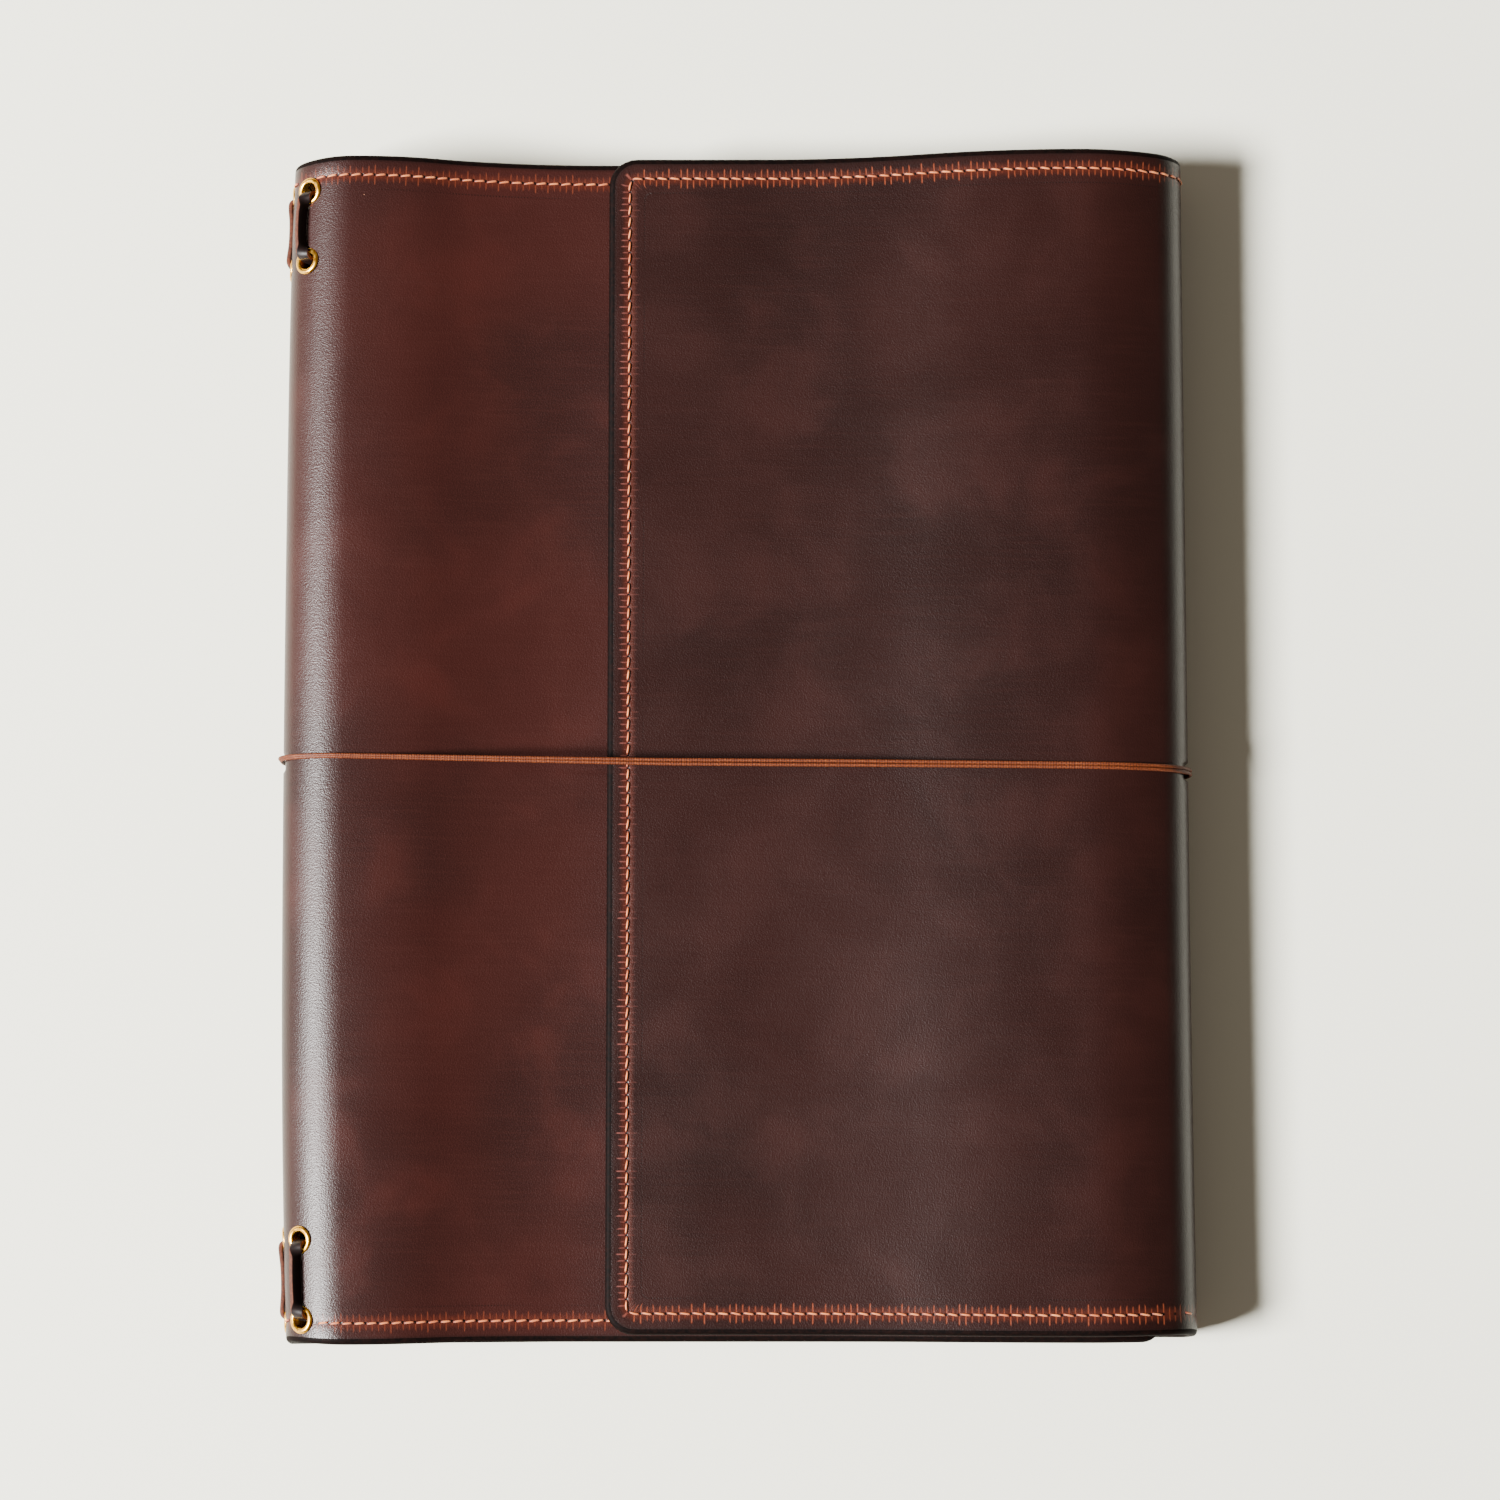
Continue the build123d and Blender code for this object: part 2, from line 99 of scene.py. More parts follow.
lace_spans = {"head_lace": (137.7, 19.0), "foot_lace": (-140.7, 20.5)}  # middle, eyelet pitch
shoulder_tilt = 34.0
eyelet_bore, eyelet_flange = 2.2, 3.65
lace_width, lace_thickness = 3.3, 1.2

cord_radius = 0.5
cord_y, cord_skew = -6.6, -0.5
groove_half_width, groove_depth = 2.2, 1.1


def travel(point, heading, size, turn):
    """Point where a straight, or an arc tangent to the heading, ends; arrays of turns work too."""
    before, after = np.radians(heading), np.radians(heading + turn)
    radius = np.where(turn > 0, size, -size)
    x = point[0] + radius * (np.sin(after) - np.sin(before))
    z = point[1] - radius * (np.cos(after) - np.cos(before))
    return x, z


class Branch:
    """One branch of the hide's line, as a table of places at fine steps."""

    step_mm, step_deg = 0.5, 0.5

    def __init__(self, side, runs):
        point, heading = (0.0, 0.0), 180.0 if side < 0 else 0.0
        run, x, z, turn, self.ends = [0.0], [0.0], [0.0], [heading], [0.0]
        for size, angle in runs:
            length = size if angle == 0 else size * radians(abs(angle))
            count = max(2, ceil(length / self.step_mm), ceil(abs(angle) / self.step_deg))
            for share in np.arange(1, count + 1) / count:
                if angle == 0:
                    direction = (cos(radians(heading)), sin(radians(heading)))
                    place = (point[0] + length * share * direction[0],
                             point[1] + length * share * direction[1])
                else:
                    place = travel(point, heading, size, angle * share)
                run.append(self.ends[-1] + length * share)
                x.append(float(place[0]))
                z.append(float(place[1]))
                turn.append(heading + angle * share)
            point, heading = (x[-1], z[-1]), heading + angle
            self.ends.append(run[-1])
        self.side = side
        self.run, self.x, self.z = np.array(run), np.array(x), np.array(z)
        self.heading = np.array(turn)

    def at(self, run, depth):
        """X, Z and outward direction at a depth under the outer face."""
        angle = np.radians(np.interp(run, self.run, self.heading) - 90 * self.side)
        out_x, out_z = np.cos(angle), np.sin(angle)
        x = np.interp(run, self.run, self.x) - depth * out_x
        z = np.interp(run, self.run, self.z) - depth * out_z
        return x, z, out_x, out_z

    def run_at_x(self, x, upper=True):
        """Run where the branch's upper part passes an X."""
        chosen = self.run > self.ends[2] if upper else self.run <= self.ends[1]
        order = np.argsort(self.x[chosen])
        return float(np.interp(x, self.x[chosen][order], self.run[chosen][order]))

    def middle_y(self, run):
        """Middle of the hide: the back cover takes up the skew of the wrap."""
        return self.side * hide_skew * np.minimum(run, back_half_width) / back_half_width

    def edge_y(self, run, end):
        """Y of the head edge (end 1) or the foot edge (end -1)."""
        height = np.interp(run, self.run, self.z)
        lift = np.clip((height - (crest_height - dip_depth)) / dip_depth, 0, 1)
        upper = np.clip((height - fold_radius) / fold_radius, 0, 1)
        out = hide_height / 2 + crest_bow * (lift - 0.5) * upper
        if self.side > 0:
            crest = np.clip((height - flap_level) / (crest_height - flap_level), 0, 1)
            crest = np.where(run < self.ends[4], 1.0, crest)
            upper = np.clip((height - fold_radius / 2) / fold_radius, 0, 1)
            dip = flap_head_dip - flap_head_rise * crest if end > 0 else flap_foot_dip
            out = out - dip * upper
        else:
            out = out + (0.4 if end > 0 else 0.55 * lift - 0.8) * upper
        return self.middle_y(run) + end * out


def s_bend(length, drop):
    turn = 2 * atan(drop / length)
    return degrees(turn), length / sin(turn)


def shoulder(reach, drop, crest_turn):
    """Radii of the two arcs of a quarter turn that spans reach and drop: crest, then side."""
    rise, level = sin(radians(crest_turn)), cos(radians(crest_turn))
    scale = rise * level - (1 - rise) * (1 - level)
    crest_arc = (reach * level - drop * (1 - rise)) / scale
    side_arc = (drop * rise - reach * (1 - level)) / scale
    return crest_arc, side_arc


spine_crest, spine_side = shoulder(
    spine_crest_reach, crest_height - fold_radius - spine_wall, spine_crest_turn)
flap_crest, fore_side = shoulder(flap_crest_reach, crest_height - fold_radius, flap_crest_turn)
dip_turn, dip_radii = s_bend(dip_length, dip_depth)
rise_turn, rise_radii = s_bend(rise_length, rise_height)
dip_crest = dip_radii * dip_crest_share
front_rise = rise_radii / 2
flap_level = crest_height - rise_height

left = Branch(-1, [
    (back_half_width, 0), (fold_radius, -90.0), (spine_wall, 0),
    (spine_side, spine_crest_turn - 90), (spine_crest, -spine_crest_turn),
    (dip_crest, -dip_turn), (dip_radii - dip_crest, dip_turn), (level_length, 0),
    (front_rise, rise_turn), (front_rise, -rise_turn), (flap_crest - flap_over_front, -front_tail),
])
right = Branch(1, [
    (back_half_width, 0), (fold_radius, 90.0), (fore_side, 90 - flap_crest_turn),
    (flap_crest, flap_crest_turn), (front_rise + flap_over_front, rise_turn),
    (front_rise - flap_over_front, -rise_turn), (flap_reach, 0),
])
wall_middle = left.ends[2] + spine_wall / 2
fold_end = right.ends[2]


def groove(branch, run, y):
    """How far the band presses into the outer face."""
    x, z, _, _ = branch.at(run, 0)
    offset = np.abs(y - cord_y - np.tan(radians(cord_skew)) * x) / groove_half_width
    shape = np.clip(1.25 - offset, 0, 0.5) * 2
    shape = shape * shape * (3 - 2 * shape)
    fade = np.clip((22 - z) / 6, 0, 1)
    return groove_depth * shape * fade * fade * (3 - 2 * fade)


def lean(points):
    """The closed cover isn't quite straight: the spine bows out between head and foot."""
    x, y = points[..., 0], points[..., 1]
    moved = points.copy()
    at_spine = np.clip((-x - 70) / 45, 0, 1)
    at_fore_edge = np.clip((x - 70) / 45, 0, 1)
    bow = 0.95 * (((y - 35) / 150) ** 2 - 1)
    bow += 1.2 * np.clip((-y - 60) / 95, 0, 2) ** 2 + 0.5 * np.clip((y - 110) / 42, 0, 2) ** 2
    moved[..., 0] += bow * at_spine + 0.7 * at_fore_edge * np.clip((-y - 30) / 140, 0, 1) ** 2
    return moved


# ---- meshes -----------------------------------------------------------------------------------


def new_object(name, points, faces, attributes=None, material=None, sharp=(), slots=None):
    """Mesh object from millimetre points, with point attributes and outward faces."""
    mesh = bpy.data.meshes.new(name)
    mesh.from_pydata((lean(np.asarray(points, float)) * MM).tolist(), [], faces)
    for key, values in (attributes or {}).items():
        values = np.asarray(values, np.float32)
        if values.ndim == 1:
            mesh.attributes.new(key, "FLOAT", "POINT").data.foreach_set("value", values)
        else:
            layer = mesh.attributes.new(key, "FLOAT_VECTOR", "POINT")
            layer.data.foreach_set("vector", values.ravel())
    work = bmesh.new()
    work.from_mesh(mesh)
    bmesh.ops.recalc_face_normals(work, faces=work.faces)
    for face in work.faces:
        face.smooth = True
    work.verts.ensure_lookup_table()
    for loop in sharp:
        ring = set(loop)
        for vert in loop:
            for edge in work.verts[vert].link_edges:
                if edge.other_vert(work.verts[vert]).index in ring:
                    edge.smooth = False
    work.to_mesh(mesh)
    work.free()
    obj = bpy.data.objects.new(name, mesh)
    bpy.context.scene.collection.objects.link(obj)
    for item in material if isinstance(material, tuple) else [material] if material else []:
        mesh.materials.append(item)
    if slots is not None:
        mesh.polygons.foreach_set("material_index", slots)
    return obj


def stations(branch, start, end):
    """Places along a branch that follow its arcs in small, even turns."""
    marks = [start] + [mark for mark in branch.ends if start < mark < end] + [end]
    found = []
    for low, high in zip(marks, marks[1:]):
        turn = abs(np.diff(np.interp([low, high], branch.run, branch.heading))[0])
        count = max(1, ceil((high - low) / 2.5), ceil(turn / 2.0))
        found += list(np.linspace(low, high, count, endpoint=False))
    return found + [end]


worked_edge = 1.6  # width of the burnished edge
guard = 0.12  # a narrow first column keeps the shading level across a split


def rows(top, bottom):
    """Shares of the hide's height: even rows, and narrow ones where the band presses."""
    even = np.arange(bottom, top, 3.0)
    band = np.arange(cord_y - 6, cord_y + 6.1, 0.5)
    away = even[np.abs(even - cord_y) > 6.5]
    every = np.unique(np.concatenate([away, band, [bottom, top]]))
    return (every - bottom) / (top - bottom)


class Panel:
    """A layer of the hide between two places along a branch, with worked edges.

    rim lists (inset from the edge, depth) from the outer face round the edge to the inner face. A
    free end has worked edges and rounded corners; a split end meets its neighbour.
    """

    corner_steps = 7

    def __init__(self, branch, start, end, rim, corner=0.0, free=False, reach=hide_height / 2,
                 pressed=False):
        self.branch, self.start, self.end, self.rim = branch, start, end, rim
        self.corner, self.free, self.trim = corner, free, hide_height / 2 - reach
        self.pressed = pressed
        marks = stations(branch, start, end - corner if free else end)
        marks.insert(1, marks[0] + guard)
        if not free:
            marks.insert(-1, marks[-1] - guard)
        self.marks = np.array(marks)
        self.shares = rows(reach, -reach)

    def column(self, inset):
        """Run and extra edge distance of every column, for a loop at an inset."""
        if not self.free:
            return self.marks, np.zeros(len(self.marks))
        radius = max(self.corner - inset, seam_corner)
        limit = self.end - inset - radius
        share = (self.marks - self.start) / (self.end - self.corner - self.start)
        straight = self.start + share * (limit - self.start)
        angle = np.linspace(0, pi / 2, self.corner_steps + 1)[1:]
        run = np.concatenate([straight, limit + radius * np.sin(angle)])
        extra = np.concatenate([np.zeros(len(straight)), radius * (1 - np.cos(angle))])
        return run, extra

    def grid(self, inset):
        """Run and Y of the whole face inside an inset."""
        run, extra = self.column(inset)
        low = self.branch.edge_y(run, -1) + self.trim + inset + extra
        high = self.branch.edge_y(run, 1) - self.trim - inset - extra
        y = low[:, None] + (high - low)[:, None] * self.shares[None, :]
        return np.repeat(run[:, None], len(self.shares), 1), y

    def path(self):
        """Grid indices of the worked edge: along the foot, round a free end, back along the head."""
        columns = len(self.column(0)[0])
        last = len(self.shares) - 1
        foot = [(column, 0) for column in range(columns)]
        head = [(column, last) for column in reversed(range(columns))]
        if self.free:
            return [foot + [(columns - 1, row) for row in range(1, last)] + head]
        return [foot, head]

    def seam(self, part, inset=seam_inset):
        """Run, Y and distance along the seam, for one part of the path."""
        run, y = self.grid(inset)
        where = tuple(np.array(self.path()[part]).T)
        run, y = run[where], y[where]
        steps = np.hypot(np.diff(run), np.diff(y))
        return run, y, np.concatenate([[0], np.cumsum(steps)])

    def pitch(self, part):
        length = self.seam(part)[2][-1]
        return length / round(length / stitch_pitch)

    def build(self, name, material):
        flats, seams, faces, slots = [], [], [], []
        count = 0

        def place(run, y, depth, along, inset, across=0.0):
            nonlocal count
            run, y = np.ravel(run), np.ravel(y)
            depth = np.full(len(run), float(depth))
            if self.pressed:
                dent = groove(self.branch, run, y)
                depth = depth + dent * np.clip(1 - depth / hide_thickness, 0, 1)
            flats.append(np.stack([run, y, depth], 1))
            seams.append(np.stack([np.ravel(along), np.full(len(run), inset),
                                   np.ravel(across) + 0 * run], 1))
            first = count
            count += len(run)
            return np.arange(first, count)

        def seam_place(part, run, y):
            """Distance along the seam, in stitches, and how far the seam runs across the hide."""
            seam_run, seam_y, along = self.seam(part)
            ahead_run, ahead_y = np.gradient(seam_run), np.gradient(seam_y)
            size = np.hypot(ahead_run, ahead_y)
            shift = ((run - seam_run) * ahead_run + (y - seam_y) * ahead_y) / size
            return (along + shift) / self.pitch(part), np.abs(ahead_y) / size

        paths = self.path()
        sides = []
        for inset, depth in (self.rim[0], self.rim[-1]):
            run, y = self.grid(inset)
            along, across = np.zeros(run.shape), np.zeros(run.shape)
            for part, cells in enumerate(paths):
                where = tuple(np.array(cells).T)
                along[where], across[where] = seam_place(part, run[where], y[where])
            index = place(run, y, depth, along, inset, across).reshape(run.shape)
            sides.append(index)
            quads = np.stack([index[:-1, :-1], index[1:, :-1], index[1:, 1:], index[:-1, 1:]], -1)
            faces += quads.reshape(-1, 4).tolist()
            slots += [0] * quads.reshape(-1, 4).shape[0]
        top, bottom = sides
        edge_loops = []
        for part, cells in enumerate(paths):
            where = tuple(np.array(cells).T)
            loops = [top[where]]
            for inset, depth in self.rim[1:-1]:
                run, y = self.grid(inset)
                along, across = seam_place(part, run[where], y[where])
                loops.append(place(run[where], y[where], depth, along, inset, across))
            loops.append(bottom[where])
            edge_loops.append(loops)
            insets = [inset for inset, _ in self.rim]
            for number, (upper, lower) in enumerate(zip(loops, loops[1:])):
                quads = np.stack([upper[:-1], upper[1:], lower[1:], lower[:-1]], -1)
                faces += quads.tolist()
                slots += [1 if max(insets[number:number + 2]) < worked_edge else 0] * len(quads)
        caps = []
        for column in (0,) if self.free else (0, -1):
            foot = [loop[0 if column == 0 else -1] for loop in edge_loops[0][1:-1]]
            head = [loop[-1 if column == 0 else 0] for loop in edge_loops[-1][1:-1]]
            cap = list(top[column]) + head + list(bottom[column][::-1]) + foot[::-1]
            faces.append([int(vert) for vert in cap])
            slots.append(1)
            caps.append([int(vert) for vert in cap])
        flat, seam = np.concatenate(flats), np.concatenate(seams)
        x, z, _, _ = self.branch.at(flat[:, 0], flat[:, 2])
        points = np.stack([x, flat[:, 1], z], 1)
        flat[:, 0] *= self.branch.side
        return new_object(name, points, faces, {"flat": flat, "seam": seam}, material, caps, slots)


def tube_faces(rings, sides, closed=False, ends=True):
    """Quads of a tube whose points run ring by ring, with end caps."""
    grid = np.arange(rings * sides).reshape(rings, sides)
    following = np.roll(grid, -1, 0) if closed else grid[1:]
    first = grid if closed else grid[:-1]
    quads = np.stack([first, np.roll(first, -1, 1), np.roll(following, -1, 1), following], -1)
    faces = quads.reshape(-1, 4).tolist()
    if ends and not closed:
        faces += [grid[0].tolist(), grid[-1][::-1].tolist()]
    return faces


# ---- stitches ---------------------------------------------------------------------------------

# share of the pitch, and height of the thread's middle above the face
stitch_line = [(0.04, -0.5), (0.08, -0.2), (0.15, 0.02), (0.27, 0.16), (0.5, 0.22), (0.73, 0.16),
               (0.85, 0.02), (0.92, -0.2), (0.96, -0.5)]
stitch_slant = 0.2
stitch_sides = 8


def stitches(name, panel, material, inner=False, skip=(), proud=1.0, level=None):
    """One short thread for each stitch of a panel's seams."""
    points, faces, shades = [], [], []
    outward = -1 if inner else 1
    for part in range(len(panel.path())):
        run, y, along = panel.seam(part)
        pitch = panel.pitch(part)
        for number in range(round(along[-1] / pitch)):
            middle = (number + 0.5) * pitch
            centre = (np.interp(middle, along, run), np.interp(middle, along, y))
            if any(np.hypot(centre[0] - spot[0], centre[1] - spot[1]) < spot[2] for spot in skip):
                continue
            slant = stitch_slant * rng.uniform(0.6, 1.4) * outward
            lift = rng.uniform(0.85, 1.1) * proud
            shade = rng.uniform(0, 1)
            shares = np.array([share for share, _ in stitch_line])
            heights = np.array([height * (lift if height > 0 else 1) for _, height in stitch_line])
            where = (number + shares) * pitch
            mid_run, mid_y = np.interp(where, along, run), np.interp(where, along, y)
            ahead_run = np.interp(where + 0.05, along, run) - np.interp(where - 0.05, along, run)
            ahead_y = np.interp(where + 0.05, along, y) - np.interp(where - 0.05, along, y)
            size = np.hypot(ahead_run, ahead_y)
            across_run, across_y = -ahead_y / size, ahead_run / size
            drift = slant * (shares - 0.5) * 2
            mid_run = mid_run + across_run * drift
            mid_y = mid_y + across_y * drift
            face = level if level is not None else (panel_thickness if inner else 0)
            if proud < 0.5 and not inner:
                heights = heights - 0.3 * np.clip((fold_radius / 2 + back_half_width - mid_run) / 6,
                                                  0, 1)
            first = len(points) * stitch_sides
            for place in range(len(shares)):
                angle = np.arange(stitch_sides) * 2 * pi / stitch_sides
                twist = 1 + 0.10 * np.cos(2 * (angle - place * 0.9))
                side = thread_radius * twist * np.cos(angle)
                rise = thread_radius * 0.85 * twist * np.sin(angle) + heights[place]
                ring_run = mid_run[place] + across_run[place] * side
                ring_y = mid_y[place] + across_y[place] * side
                x, z, _, _ = panel.branch.at(ring_run, face - outward * rise)
                points.append(np.stack([x, ring_y, z], 1))
                shades.append(np.stack([np.full(stitch_sides, shares[place]),
                                        np.full(stitch_sides, shade),
                                        np.full(stitch_sides, float(number))], 1))
            faces += [[vert + first for vert in face_] for face_ in
                      tube_faces(len(shares), stitch_sides)]
    attributes = {"strand": np.concatenate(shades)}
    return new_object(name, np.concatenate(points), faces, attributes, material)


# ---- materials --------------------------------------------------------------------------------


class Nodes:
    """Small helper that writes a material's nodes."""

    def __init__(self, name):
        self.material = bpy.data.materials.new(name)
        self.material.use_nodes = True
        self.tree = self.material.node_tree
        self.shader = self.tree.nodes["Principled BSDF"]

    def node(self, kind, **inputs):
        made = self.tree.nodes.new(kind)
        for key, value in inputs.items():
            socket = made.inputs[key.replace("_", " ")]
            if isinstance(value, bpy.types.NodeSocket):
                self.tree.links.new(value, socket)
            else:
                socket.default_value = value
        return made

    def attribute(self, name, output="Vector"):
        found = self.tree.nodes.new("ShaderNodeAttribute")
        found.attribute_name = name
        return found.outputs[output]

    def split(self, vector):
        return self.node("ShaderNodeSeparateXYZ", Vector=vector).outputs

    def math(self, operation, first, second=0.0, third=0.0):
        made = self.tree.nodes.new("ShaderNodeMath")
        made.operation = operation
        for socket, value in zip(made.inputs, (first, second, third)):
            if isinstance(value, bpy.types.NodeSocket):
                self.tree.links.new(value, socket)
            else:
                socket.default_value = value
        return made.outputs[0]

    def scaled(self, vector, scale):
        made = self.tree.nodes.new("ShaderNodeVectorMath")
        made.operation = "MULTIPLY"
        self.tree.links.new(vector, made.inputs[0])
        made.inputs[1].default_value = scale
        return made.outputs[0]

    def noise(self, vector, scale, detail=3.0, roughness=0.55, distortion=0.0):
        return self.node("ShaderNodeTexNoise", Vector=vector, Scale=scale, Detail=detail,
                         Roughness=roughness, Distortion=distortion).outputs["Fac"]

    def cells(self, vector, scale, output="Distance"):
        return self.node("ShaderNodeTexVoronoi", Vector=vector, Scale=scale).outputs[output]

    def step(self, value, low, high, start=0.0, end=1.0):
        """Smooth step of a value from start at low to end at high."""
        made = self.tree.nodes.new("ShaderNodeMapRange")
        made.interpolation_type = "SMOOTHSTEP"
        self.tree.links.new(value, made.inputs["Value"])
        for key, number in zip(("From Min", "From Max", "To Min", "To Max"),
                               (low, high, start, end)):
            made.inputs[key].default_value = number
        return made.outputs["Result"]

    def mix(self, share, first, second, blend="MIX"):
        made = self.tree.nodes.new("ShaderNodeMix")
        made.data_type, made.blend_type = "RGBA", blend
        for socket, value in zip((made.inputs[0], made.inputs[6], made.inputs[7]),
                                 (share, first, second)):
            if isinstance(value, bpy.types.NodeSocket):
                self.tree.links.new(value, socket)
            elif isinstance(value, float):
                socket.default_value = value
            else:
                socket.default_value = (*value, 1.0)
        return made.outputs[2]

    def bump(self, height, distance, strength=1.0, normal=None):
        made = self.node("ShaderNodeBump", Height=height, Distance=distance, Strength=strength)
        if normal:
            self.tree.links.new(normal, made.inputs["Normal"])
        return made.outputs["Normal"]

    def finish(self, color, roughness, normal=None, **constants):
        for key, value in (("Base Color", color), ("Roughness", roughness), ("Normal", normal)):
            if isinstance(value, bpy.types.NodeSocket):
                self.tree.links.new(value, self.shader.inputs[key])
            elif value is not None:
                self.shader.inputs[key].default_value = (
                    (*value, 1.0) if isinstance(value, tuple) else value)
        for key, value in constants.items():
            self.shader.inputs[key.replace("_", " ")].default_value = value
        return self.material


def srgb(red, green, blue, dim=1.0):
    """Linear colour of an 8-bit display colour, dimmed for strong light."""
    return tuple(dim * ((value / 255 + 0.055) / 1.055) ** 2.4 for value in (red, green, blue))


leather_dim = 0.21


def hide_leather(name, deep, body, bright, painted_sheen, needle):
    """Waxed pull-up leather: mottled, fine-grained, and marked along the seam."""
    n = Nodes(name)
    flat = n.attribute("flat")
    along, inset, across = n.split(n.attribute("seam"))
    _, _, depth = n.split(flat)
    clouds = n.noise(flat, 0.012, 2.0, 0.5, 0.3)
    patches = n.noise(flat, 0.035, 4.0, 0.55, 0.3)
    brushed = n.noise(n.scaled(flat, (0.05, 0.9, 0.1)), 1.0, 3.0, 0.6)
    grain = n.noise(flat, 3.0, 2.0, 0.6)
    color = n.mix(n.step(clouds, 0.34, 0.66), deep, body)
    color = n.mix(n.step(patches, 0.45, 0.75, 0.0, 0.6), color, bright)
    # painted sheen: greyer, lighter streaks along the brushing stand in for its reflection
    color = n.mix(n.step(brushed, 0.45, 0.75, 0.0, 0.3), color, painted_sheen)
    color = n.mix(n.step(patches, 0.44, 0.25, 0.0, 0.5), color, deep)
    color = n.mix(n.step(grain, 0.42, 0.62, 0.0, 0.3), color, bright)
    speck = n.step(n.cells(flat, 0.06), 0.012, 0.006)
    color = n.mix(n.math("MULTIPLY", speck, 0.8), color, srgb(196, 140, 110, 0.6))
    # needle marks beside each stitch: on both sides along the hide, on the edge's side across it
    phase = n.math("FRACT", n.math("MULTIPLY", along, 2.0))
    tick = n.step(n.math("ABSOLUTE", n.math("SUBTRACT", phase, 0.5)), 0.34, 0.46)
    stride = n.noise(n.node("ShaderNodeCombineXYZ", X=along).outputs[0], 1.7, 2.0, 0.6)
    spread = n.step(stride, 0.32, 0.62, 0.9, 2.7)
    inside = n.math("SUBTRACT", inset, seam_inset)
    distance = n.math("ABSOLUTE", inside)
    reach = n.step(n.math("SUBTRACT", distance, spread), 0.3, -0.4)
    hidden = n.math("MULTIPLY", n.step(inside, -0.2, 0.4), n.step(across, 0.3, 0.9, 0.0, 0.8))
    mark = n.math("MULTIPLY", n.math("MULTIPLY", tick, reach), n.step(stride, 0.28, 0.6, 0.2 * needle, needle))
    mark = n.math("MULTIPLY", mark, n.math("SUBTRACT", 1.0, hidden))
    ticks = n.mix(n.step(across, 0.3, 0.9), srgb(196, 96, 60, 0.4), srgb(176, 104, 96, 0.4))
    color = n.mix(mark, color, ticks)
    rub = n.math("MULTIPLY", n.step(distance, 2.2, 0.3), 0.35)
    color = n.mix(rub, color, srgb(140, 60, 38, 0.3))
    # painted shade: each stitch hole is darkened in the colour as well as dented
    hole = n.math("MULTIPLY", n.step(n.math("PINGPONG", along, 0.5), 0.14, 0.04),
                  n.step(distance, 0.5, 0.2))
    color = n.mix(hole, color, srgb(26, 10, 8, 0.2))
    # the row of dots left by the presser foot
    dots = n.step(n.math("PINGPONG", n.math("MULTIPLY", along, 4.0), 0.5), 0.14, 0.34)
    line = n.step(n.math("ABSOLUTE", n.math("SUBTRACT", inset, 9.4)), 0.28, 0.1)
    foot = n.math("MULTIPLY", line, n.math("MULTIPLY", dots, n.step(patches, 0.4, 0.6, 0.1, 0.6)))
    color = n.mix(foot, color, srgb(36, 16, 14, leather_dim))
    color = n.mix(n.step(inset, 2.4, 1.4, 0.0, 0.5), color, srgb(30, 16, 15, 0.2))
    wax = n.step(patches, 0.3, 0.75, 0.31, 0.36)
    wax = n.math("ADD", wax, n.step(grain, 0.3, 0.7, -0.03, 0.06))
    height = n.math("ADD", n.math("MULTIPLY", grain, 0.8), n.cells(flat, 2.7))
    normal = n.bump(height, 0.000065, 0.6)
    normal = n.bump(brushed, 0.00005, 0.4, normal)
    dent = n.math("ADD", n.math("MULTIPLY", mark, 0.5), n.math("ADD", hole, n.math("MULTIPLY", foot, 0.4)))
    normal = n.bump(dent, -0.00007, 0.6, normal)
    return n.finish(color, wax, normal, IOR=1.25, Specular_IOR_Level=0.9)


def burnished_edge(name):
    """Cut edge of hide and lining, rubbed smooth and nearly black."""
    n = Nodes(name)
    flat = n.attribute("flat")
    fibre = n.noise(n.scaled(flat, (1.0, 1.0, 4.0)), 0.9, 4.0, 0.6)
    color = n.mix(n.step(fibre, 0.35, 0.7), srgb(20, 11, 10, 0.2), srgb(44, 22, 18, 0.2))
    return n.finish(color, 0.62, n.bump(fibre, 0.00006, 0.5), IOR=1.2, Specular_IOR_Level=0.2)


def lining_leather(name, dark, light):
    """Matt lining leather, close-grained, with a burnished edge."""
    n = Nodes(name)
    flat = n.attribute("flat")
    _, inset, _ = n.split(n.attribute("seam"))
    clouds = n.noise(flat, 0.03, 4.0, 0.6)
    fibre = n.noise(flat, 3.2, 4.0, 0.7)
    color = n.mix(n.step(clouds, 0.3, 0.7), dark, light)
    color = n.mix(n.step(fibre, 0.35, 0.7, 0.0, 0.3), color, light)
    color = n.mix(n.step(inset, 1.4, 0.4, 0.0, 0.9), color, srgb(34, 18, 15))
    normal = n.bump(fibre, 0.00008, 0.6)
    return n.finish(color, n.step(clouds, 0.3, 0.7, 0.55, 0.72), normal, IOR=1.3,
                    Specular_IOR_Level=0.4)


def waxed_thread(name):
    """Orange waxed thread, with painted shade: darker and redder where it dips into the hole, so light on the
    crown of the stitch.
    """
    n = Nodes(name)
    share, shade, number = n.split(n.attribute("strand"))
    middle = n.math("ABSOLUTE", n.math("SUBTRACT", share, 0.5))
    color = n.mix(shade, srgb(210, 104, 46, 0.65), srgb(236, 138, 74, 0.75))
    # painted shade towards the ends of each stitch, where it sinks into the hole
    color = n.mix(n.step(middle, 0.2, 0.4), color, srgb(150, 50, 22, 0.4))
    place = n.node("ShaderNodeCombineXYZ", X=n.math("MULTIPLY", share, 9.0), Y=number).outputs[0]
    fuzz = n.noise(place, 2.0, 2.0)
    color = n.mix(n.step(fuzz, 0.4, 0.7, 0.0, 0.3), color, srgb(196, 96, 44, 0.5))
    return n.finish(color, 0.5, n.bump(fuzz, 0.00008, 0.6), Sheen_Weight=0.15)


